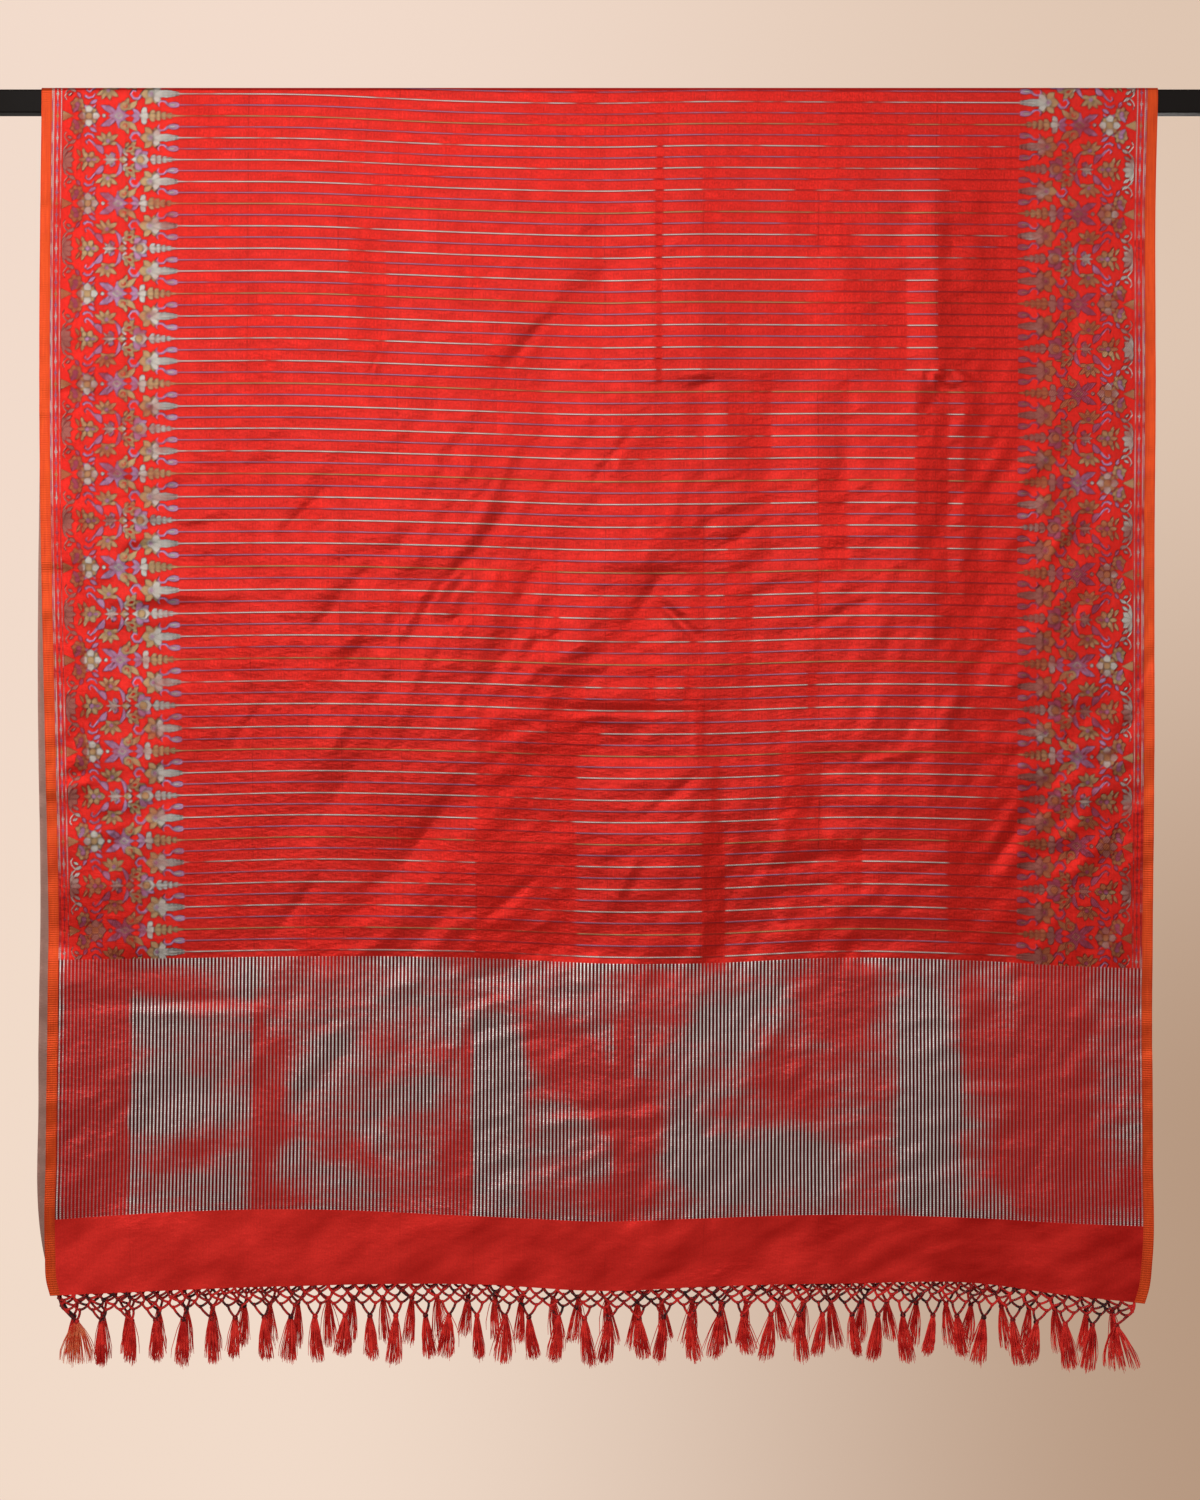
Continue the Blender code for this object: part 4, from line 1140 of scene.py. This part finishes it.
def flowerTile(fall):
    # Half a repeat of the border: a flat mesh with a material for each thread, from axis A to axis B.
    inward = evenLines(tile["inner"], tile["outer"], tile["grid"])
    points = [(a, b) for a in np.linspace(0, halfRepeat, tile["columns"]) for b in inward]
    outlines, sides = [], []
    for thread, shape in inlays(fall):
        shape = clipped(shape, 0.0, halfRepeat, 0)
        shape = None if shape is None else clipped(shape, tile["inner"], tile["outer"], 1)
        if shape is not None:
            for end in (0.0, halfRepeat):
                shape[np.abs(shape[:, 0] - end) < tile["snap"], 0] = end
            numbers = list(range(len(points), len(points) + len(shape)))
            sides += list(zip(numbers, numbers[1:] + numbers[:1]))
            points += [tuple(point) for point in shape]
            outlines.append((tile["threads"].index(thread), shape))
    made = geometry.delaunay_2d_cdt([Vector(point) for point in points], sides, [], 0, tile["weld"])
    places = np.array([tuple(place) for place in made[0]])
    faces = np.array(made[2])
    flat = np.stack([places[:, 1], places[:, 0], np.zeros(len(places))], axis=1) * 0.001
    mesh = bpy.data.meshes.new("flower tile")
    mesh.from_pydata(flat.tolist(), [], faces.tolist())
    middles = places[faces].mean(axis=1)
    threads = np.zeros(len(faces), dtype=np.int32)
    for thread, shape in outlines:
        threads[insideOf(shape, middles)] = thread
    for _ in tile["threads"]:
        mesh.materials.append(None)
    mesh.polygons.foreach_set("material_index", threads)
    mesh.update()
    return mesh


def borderStrip(fall):
    # The tile mirrored about axis A and repeated along the warp, x in from the edge, y along the warp.
    thing = addObject(f"{fall} border strip", flowerTile(fall))
    mirror = thing.modifiers.new("other half", "MIRROR")
    mirror.use_axis = (False, True, False)
    mirror.merge_threshold = tile["seamWeld"]
    array = thing.modifiers.new("repeats", "ARRAY")
    array.count = tile["repeats"]
    array.use_relative_offset = False
    array.use_constant_offset = True
    array.constant_offset_displace = (0.0, weave["repeat"], 0.0)
    array.use_merge_vertices = True
    array.merge_threshold = tile["seamWeld"]
    thing = evaluated(thing)
    mesh = thing.data
    bpy.data.objects.remove(thing, do_unlink=True)
    return mesh


strip = {fall: borderStrip(fall) for fall in ("front", "back")}
print("border strips:", {fall: len(mesh.polygons) for fall, mesh in strip.items()}, "faces")


def cutBorder(side, fall):
    # The strip laid on one border of the flat cloth, cut to its fall.
    mesh = strip[fall].copy()
    inward, along = flatPlaces(mesh)
    across = inward - halfWidth if side == "left" else halfWidth - inward
    axisA = weave["firstGold"] + weave["repeat"] / 2
    along = along + axisA - weave["repeat"]
    if fall == "back":
        along = along - weave["repeat"] * (tile["repeats"] - 1)
    drop = along.copy()
    for _ in range(4):  # steps towards the drop where the pattern is due
        drop = drop + (along - patternPlace(fall, across, drop)) * (1 if fall == "front" else -1)
    turned = np.stack([across, -drop, np.zeros(len(drop))], axis=1)
    mesh.vertices.foreach_set("co", turned.ravel())
    work = bmesh.new()
    work.from_mesh(mesh)
    cuts = [(topDrop, 1, True), (cloth["fieldEnd"], -1, True)]
    cuts += [(line, 1, False) for line in np.linspace(topDrop, turnDrop, 6)[1:]]
    for line, way, clear in cuts:
        bmesh.ops.bisect_plane(work, geom=work.verts[:] + work.edges[:] + work.faces[:], dist=1e-7,
                               plane_co=(0, -line, 0), plane_no=(0, way, 0), clear_outer=clear)
    bmesh.ops.triangulate(work, faces=work.faces[:])
    if sum(part.normal.z * part.calc_area() for part in work.faces) < 0:
        bmesh.ops.reverse_faces(work, faces=work.faces[:])
    work.to_mesh(mesh)
    work.free()
    return mesh


def makeBorders(fall):
    for side in ("left", "right"):
        name = f"{fall}_border_{side}"
        thing = hang(name + "_cloth", cutBorder(side, fall), fall, tile["threads"])
        declare(thing, name)
        print(name, len(thing.data.polygons), "faces")


makeBorders("front")
makeBorders("back")


def makeTop():
    # The flat stretch on top of the rod: its field, its two borders' ground and its selvedges, in one
    # sheet.
    spans = ((-halfWidth, -borderEdge, 0.0045), (-borderEdge, borderEdge, 0.008),
             (borderEdge, halfWidth, 0.0045))
    columns = np.unique(np.concatenate([evenLines(*span) for span in spans]).round(6))
    rows = evenLines(topDrop - topDepth, topDrop, 0.0029)
    thing = hang("turn_cloth", flatGrid(columns, rows), "top", ["ground", "orange"])
    places = np.array([polygon.center.x for polygon in thing.data.polygons])
    thing.data.polygons.foreach_set("material_index", (np.abs(places) > borderEdge).astype(np.int32))
    declare(thing, "turn_over_rod")
    print("turn", len(thing.data.polygons), "faces")


makeTop()

net = {"rows": [0.0, 0.0044, 0.0088, 0.0132], "hemSpan": 0.466, "knotInset": 0.0224, "shift": 0.0016,
       "cord": 0.00115, "knot": 0.00185, "bow": 0.0008, "jitter": 0.0006, "proud": 0.0003}
tassel = {"count": {"front": 40, "back": 38}, "threads": {"front": 62, "back": 36}, "length": 0.037,
          "thread": 0.00036, "taper": [1.15, 1.1, 1.0, 0.9, 0.55], "root": 0.0014, "flare": 0.0072,
          "cornerFlare": 2.1, "deep": 0.42, "head": 0.0025, "lean": 0.005, "stray": 0.09, "wobble": 0.00045}


def knotPlaces(fall):
    # Across the flat cloth, each tassel's knot.
    count, out = tassel["count"][fall], -1 if fall == "front" else 1
    first = net["knotInset"] - halfWidth
    numbers = np.arange(count)
    return first - 2 * first / (count - 1) * numbers + net["shift"] * np.sin(2.3 * numbers) * out


def netPoint(fall, across, hemAcross, depth):
    # A place on the net: at the hem at depth 0 and level with the tassels' knots at full depth.
    full = cloth["knots"] - cloth["hem"]
    hem = fallPlace(fall, hemAcross, np.full(len(across), cloth["hem"]))
    knot = fallPlace(fall, across, np.full(len(across), cloth["knots"]))
    part = (depth / full)[:, None]
    place = hem * (1 - part) + knot * part
    place[:, 1] = hem[:, 1] + net["proud"] * (1 if fall == "front" else -1)
    return place


def makeNet(fall, rng):
    knots = knotPlaces(fall)
    count = len(knots)
    pitch = (knots[-1] - knots[0]) / (count - 1)
    levels = []
    for level, depth in enumerate(net["rows"]):
        number = 2 * count + 1 - level % 2
        lower = knots[0] + pitch / 2 * (np.arange(number) - (0.5 if level % 2 else 1.0))
        wide = np.linspace(-net["hemSpan"], net["hemSpan"], number)
        places = netPoint(fall, lower, wide, np.full(number, depth))
        if level:
            places[:, [0, 2]] += rng.uniform(-net["jitter"], net["jitter"], (number, 2))
        levels.append(places)
    heads = netPoint(fall, knots, knots, np.full(count, cloth["knots"] - cloth["hem"]))
    cords = []
    for upper, lower, shift in ((0, 1, 0), (1, 2, 1), (2, 3, 0)):
        for number in range(len(levels[lower])):
            for other in (number - shift, number - shift + 1):
                if 0 <= other < len(levels[upper]):
                    cords.append((levels[upper][other], levels[lower][number]))
    for number in range(2 * count):
        cords.append((levels[3][number], heads[number // 2]))
    for side, last in ((0, 0), (-1, -1)):
        cords.append((levels[0][side], levels[2][side]))
        cords.append((levels[2][side], heads[last]))
    points, edgePairs = [], []
    for start, end in cords:
        aside = np.array([start[2] - end[2], 0, end[0] - start[0]])
        aside *= net["bow"] * np.sign(end[0] - start[0] + 1e-9) / (np.linalg.norm(aside) + 1e-9)
        for part in (0.0, 0.33, 0.67, 1.0):
            points.append(start + (end - start) * part - aside * 4 * part * (1 - part))
            if part:
                edgePairs.append((len(points) - 2, len(points) - 1))
    knotted = np.concatenate([levels[1], levels[2], levels[3]])
    return np.array(points), edgePairs, knotted, heads


def startTree(name, growsOn, count):
    # Geometry Nodes with named inputs: what it grows on, a count and the thread it is made of.
    tree = bpy.data.node_groups.new(name, "GeometryNodeTree")
    for socket, kind in ((growsOn, "Geometry"), (count, "Int"), ("Thread", "Material")):
        tree.interface.new_socket(socket, in_out="INPUT", socket_type="NodeSocket" + kind)
    tree.interface.new_socket("Made", in_out="OUTPUT", socket_type="NodeSocketGeometry")
    thick = put(tree, "GeometryNodeInputNamedAttribute", {"data_type": "FLOAT"}, {"Name": "thick"})
    return tree, put(tree, "NodeGroupInput").outputs, thick.outputs["Attribute"]


def endTree(tree, made, thread):
    whole = put(tree, "GeometryNodeRealizeInstances", feeds={"Geometry": made})
    dyed = put(tree, "GeometryNodeSetMaterial", feeds={"Geometry": whole.outputs[0], "Material": thread})
    put(tree, "NodeGroupOutput", feeds={"Made": dyed.outputs[0]})
    return tree


def threadTree():
    # Each run of edges becomes a round thread as thick as its own attribute says.
    tree, given, thick = startTree("round threads", "Paths", "Sides")
    runs = put(tree, "GeometryNodeMeshToCurve", feeds={"Mesh": given["Paths"]})
    ring = put(tree, "GeometryNodeCurvePrimitiveCircle", feeds={"Resolution": given["Sides"], "Radius": 1.0})
    threads = put(tree, "GeometryNodeCurveToMesh", feeds={
        "Curve": runs.outputs[0], "Profile Curve": ring.outputs[0], "Scale": thick, "Fill Caps": True})
    return endTree(tree, threads.outputs[0], given["Thread"])


def knotTree():
    # A small ball on each point, as wide as its own attribute says.
    tree, given, thick = startTree("knots", "Places", "Roundness")
    ball = put(tree, "GeometryNodeMeshIcoSphere", feeds={"Radius": 1.0, "Subdivisions": given["Roundness"]})
    balls = put(tree, "GeometryNodeInstanceOnPoints", feeds={
        "Points": given["Places"], "Instance": ball.outputs[0], "Scale": thick})
    return endTree(tree, balls.outputs[0], given["Thread"])


trees = {"thread": threadTree(), "knot": knotTree()}
countNames = {"thread": "Sides", "knot": "Roundness"}


def grown(name, points, pairs, thick, kind, count, material):
    mesh = bpy.data.meshes.new(name)
    mesh.from_pydata(np.asarray(points).tolist(), [tuple(map(int, pair)) for pair in pairs], [])
    size = mesh.attributes.new("thick", "FLOAT", "POINT")
    size.data.foreach_set("value", np.broadcast_to(thick, len(points)).astype(np.float32).copy())
    thing = addObject(name, mesh)
    modifier = thing.modifiers.new(kind, "NODES")
    modifier.node_group = trees[kind]
    sockets = {item.name: item.identifier for item in trees[kind].interface.items_tree}
    modifier[sockets[countNames[kind]]] = count
    modifier[sockets["Thread"]] = materials[material]
    thing = evaluated(thing)
    thing.data.shade_smooth()
    return thing


def joined(name, material, *things):
    # Several plain objects as one mesh.
    work = bmesh.new()
    for thing in things:
        work.from_mesh(thing.data)
        bpy.data.objects.remove(thing, do_unlink=True)
    mesh = bpy.data.meshes.new(name)
    work.to_mesh(mesh)
    work.free()
    mesh.shade_smooth()
    mesh.materials.append(materials[material])
    return addObject(name, mesh)


def makeTassels(fall, heads, rng):
    # Combed threads that hang and flare from each knot, as runs of edges with their own thickness.
    threads = tassel["threads"][fall]
    stops = len(tassel["taper"])
    parts = np.linspace(0, 1, stops)
    spread = np.sin(parts * math.pi / 2) ** 0.8 * (0.80 + 0.2 * parts)
    root = tassel["root"]
    runs = {"red thread": [], "orange thread": []}
    for number, head in enumerate(heads):
        corner = number in (0, len(heads) - 1) and fall == "front"
        length = tassel["length"] * (1 + 0.07 * math.sin(1.7 * number) + rng.uniform(-0.05, 0.05))
        lean = tassel["lean"] * math.sin(3.1 * number) + rng.uniform(-0.0012, 0.0012)
        flare = tassel["flare"] * rng.uniform(0.75, 1.15) * (tassel["cornerFlare"] if corner else 1.0)
        turn = rng.uniform(0, 2 * math.pi, threads)
        reach = np.sqrt(rng.uniform(0, 1, threads))
        stray = rng.uniform(size=threads) < tassel["stray"]
        reach[stray] *= 1.5
        drop = length * (1 - 0.10 * reach**2 + rng.normal(0, 0.035, threads))
        wobble = rng.normal(0, tassel["wobble"], (threads, stops, 2))
        wide = root + (flare - root) * spread
        deep = root + (flare * tassel["deep"] - root) * spread
        dye = "orange thread" if corner and number == 0 else "red thread"
        for thread in range(threads):
            side = math.cos(turn[thread]) * reach[thread] * wide + lean * parts**1.3
            out = math.sin(turn[thread]) * reach[thread] * deep
            runs[dye].append(np.stack([head[0] + side + wobble[thread, :, 0] * parts,
                                       head[1] + out + wobble[thread, :, 1] * parts,
                                       head[2] - 0.0008 - drop[thread] * parts], axis=1))
    return runs


def makeFringe(fall, seed):
    rng = np.random.default_rng(seed)
    points, pairs, knotted, heads = makeNet(fall, rng)
    cords = grown("cords", points, pairs, net["cord"], "thread", 5, "red thread")
    knots = grown("knots", knotted, [], net["knot"], "knot", 1, "red thread")
    bound = grown("heads", heads - np.array([0, 0, 0.0006]), [], tassel["head"], "knot", 2, "red thread")
    made = [joined(f"{fall}_net", "net cord", cords, knots, bound)]
    for dye, runs in makeTassels(fall, heads, rng).items():
        if runs:
            stops = len(tassel["taper"])
            starts = (np.arange(len(runs))[:, None] * stops + np.arange(stops - 1)[None, :]).ravel()
            pairs = np.stack([starts, starts + 1], axis=1)
            taper = np.tile(tassel["thread"] * np.array(tassel["taper"]), len(runs))
            name = f"{fall}_tassels_{dye.split()[0]}"
            made.append(grown(name, np.concatenate(runs), pairs, taper, "thread", 3, dye))
    for thing in made:
        declare(thing, f"{fall}_net_fringe")
        print(thing.name, len(thing.data.polygons), "faces")


makeFringe("front", 21)
makeFringe("back", 22)

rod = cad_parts["hanging_rod"]
rod.data.materials.clear()
rod.data.materials.append(materials["rod"])

stageLook = {
    "floor": (0.72, 0.66, 0.60, 1), "floorLevel": -1.75, "floorRadius": 2.4,
    "room": (1.0, 0.93, 0.88, 1), "ambient": 0.30, "light": (1.0, 0.96, 0.92),
    "wallSide": (-0.093, 0.173), "wallUp": (-0.106, 0.120),
    "lowerWall": ((0.880, 0.705, 0.585, 1), (0.467, 0.312, 0.216, 1)),
    "upperWall": ((0.888, 0.708, 0.600, 1), (0.735, 0.560, 0.440, 1)),
    "cameraAway": 3.2, "cameraLevel": -0.552, "seenTall": 1.275, "sensor": 36,
}
# Soft lights: place, aim, width, height, power.
softboxes = {
    "key left": ((-0.44, -3.15, 0.26), (-0.02, 0.0, -0.47), 1.15, 1.80, 40.5),
    "key behind": ((0.44, 3.15, 0.26), (0.02, 0.0, -0.47), 1.15, 1.80, 40.5),
    "overhead": ((0.0, -0.4, 2.4), (0.0, 0.0, -0.5), 1.6, 1.2, 6.0),
}


def makeFloor():
    material, tree = newMaterial("pale floor")
    place = put(tree, "ShaderNodeTexCoord").outputs["Object"]
    parts = put(tree, "ShaderNodeSeparateXYZ", feeds={0: place})
    squares = [times(tree, parts.outputs[i], parts.outputs[i]) for i in (0, 1)]
    far = calc(tree, "SQRT", calc(tree, "ADD", *squares))
    clear = eased(tree, far, stageLook["floorRadius"] * 0.45, stageLook["floorRadius"] * 0.98)
    plain = put(tree, "ShaderNodeBsdfDiffuse", feeds={"Color": stageLook["floor"]})
    nothing = put(tree, "ShaderNodeBsdfTransparent")
    both = put(tree, "ShaderNodeMixShader", feeds={0: clear, 1: plain.outputs[0], 2: nothing.outputs[0]})
    put(tree, "ShaderNodeOutputMaterial", feeds={"Surface": both.outputs[0]})
    work = bmesh.new()
    bmesh.ops.create_circle(work, cap_ends=True, segments=96, radius=stageLook["floorRadius"])
    bmesh.ops.translate(work, vec=(0, 0, stageLook["floorLevel"]), verts=work.verts)
    mesh = bpy.data.meshes.new("floor")
    work.to_mesh(mesh)
    work.free()
    mesh.materials.append(material)
    floor = addObject("floor", mesh)


def makeWorld():
    # A warm pale wall with painted light, lighter at the upper left and darker at the lower right, seen by
    # the camera only; a plain dim room otherwise.
    world = bpy.data.worlds.new("studio")
    scene.world = world
    world.use_nodes = True
    tree = world.node_tree
    tree.nodes.clear()
    way = put(tree, "ShaderNodeTexCoord").outputs["Generated"]
    parts = put(tree, "ShaderNodeSeparateXYZ", feeds={0: way})
    side = eased(tree, parts.outputs[0], *stageLook["wallSide"])
    up = eased(tree, parts.outputs[2], *stageLook["wallUp"])
    lower, upper = (mixColour(tree, side, *stageLook[band]) for band in ("lowerWall", "upperWall"))
    pale = {"Color": mixColour(tree, up, lower, upper), "Strength": 1.0}
    dim = {"Color": stageLook["room"], "Strength": stageLook["ambient"]}
    wall, room = (put(tree, "ShaderNodeBackground", feeds=feeds) for feeds in (pale, dim))
    seen = put(tree, "ShaderNodeLightPath").outputs["Is Camera Ray"]
    both = put(tree, "ShaderNodeMixShader", feeds={0: seen, 1: room.outputs[0], 2: wall.outputs[0]})
    put(tree, "ShaderNodeOutputWorld", feeds={"Surface": both.outputs[0]})


def softbox(name, place, target, wide, tall, power):
    light = bpy.data.lights.new(name, "AREA")
    light.shape = "RECTANGLE"
    light.size, light.size_y = wide, tall
    light.energy, light.color = power, stageLook["light"]
    thing = bpy.data.objects.new(name, light)
    scene.collection.objects.link(thing)
    thing.location = place
    thing.rotation_euler = (Vector(target) - Vector(place)).to_track_quat("-Z", "Y").to_euler()
    thing.visible_camera = False


makeFloor()
makeWorld()
for name, row in softboxes.items():
    softbox(name, *row)

camera = bpy.data.cameras.new("camera")
camera.sensor_width = stageLook["sensor"]
camera.lens = stageLook["sensor"] * stageLook["cameraAway"] / stageLook["seenTall"]
viewer = bpy.data.objects.new("camera", camera)
scene.collection.objects.link(viewer)
viewer.location = (0.0, -stageLook["cameraAway"] - face, stageLook["cameraLevel"])
viewer.rotation_euler = (math.pi / 2, 0, 0)
scene.camera = viewer
scene.view_settings.view_transform = "Standard"
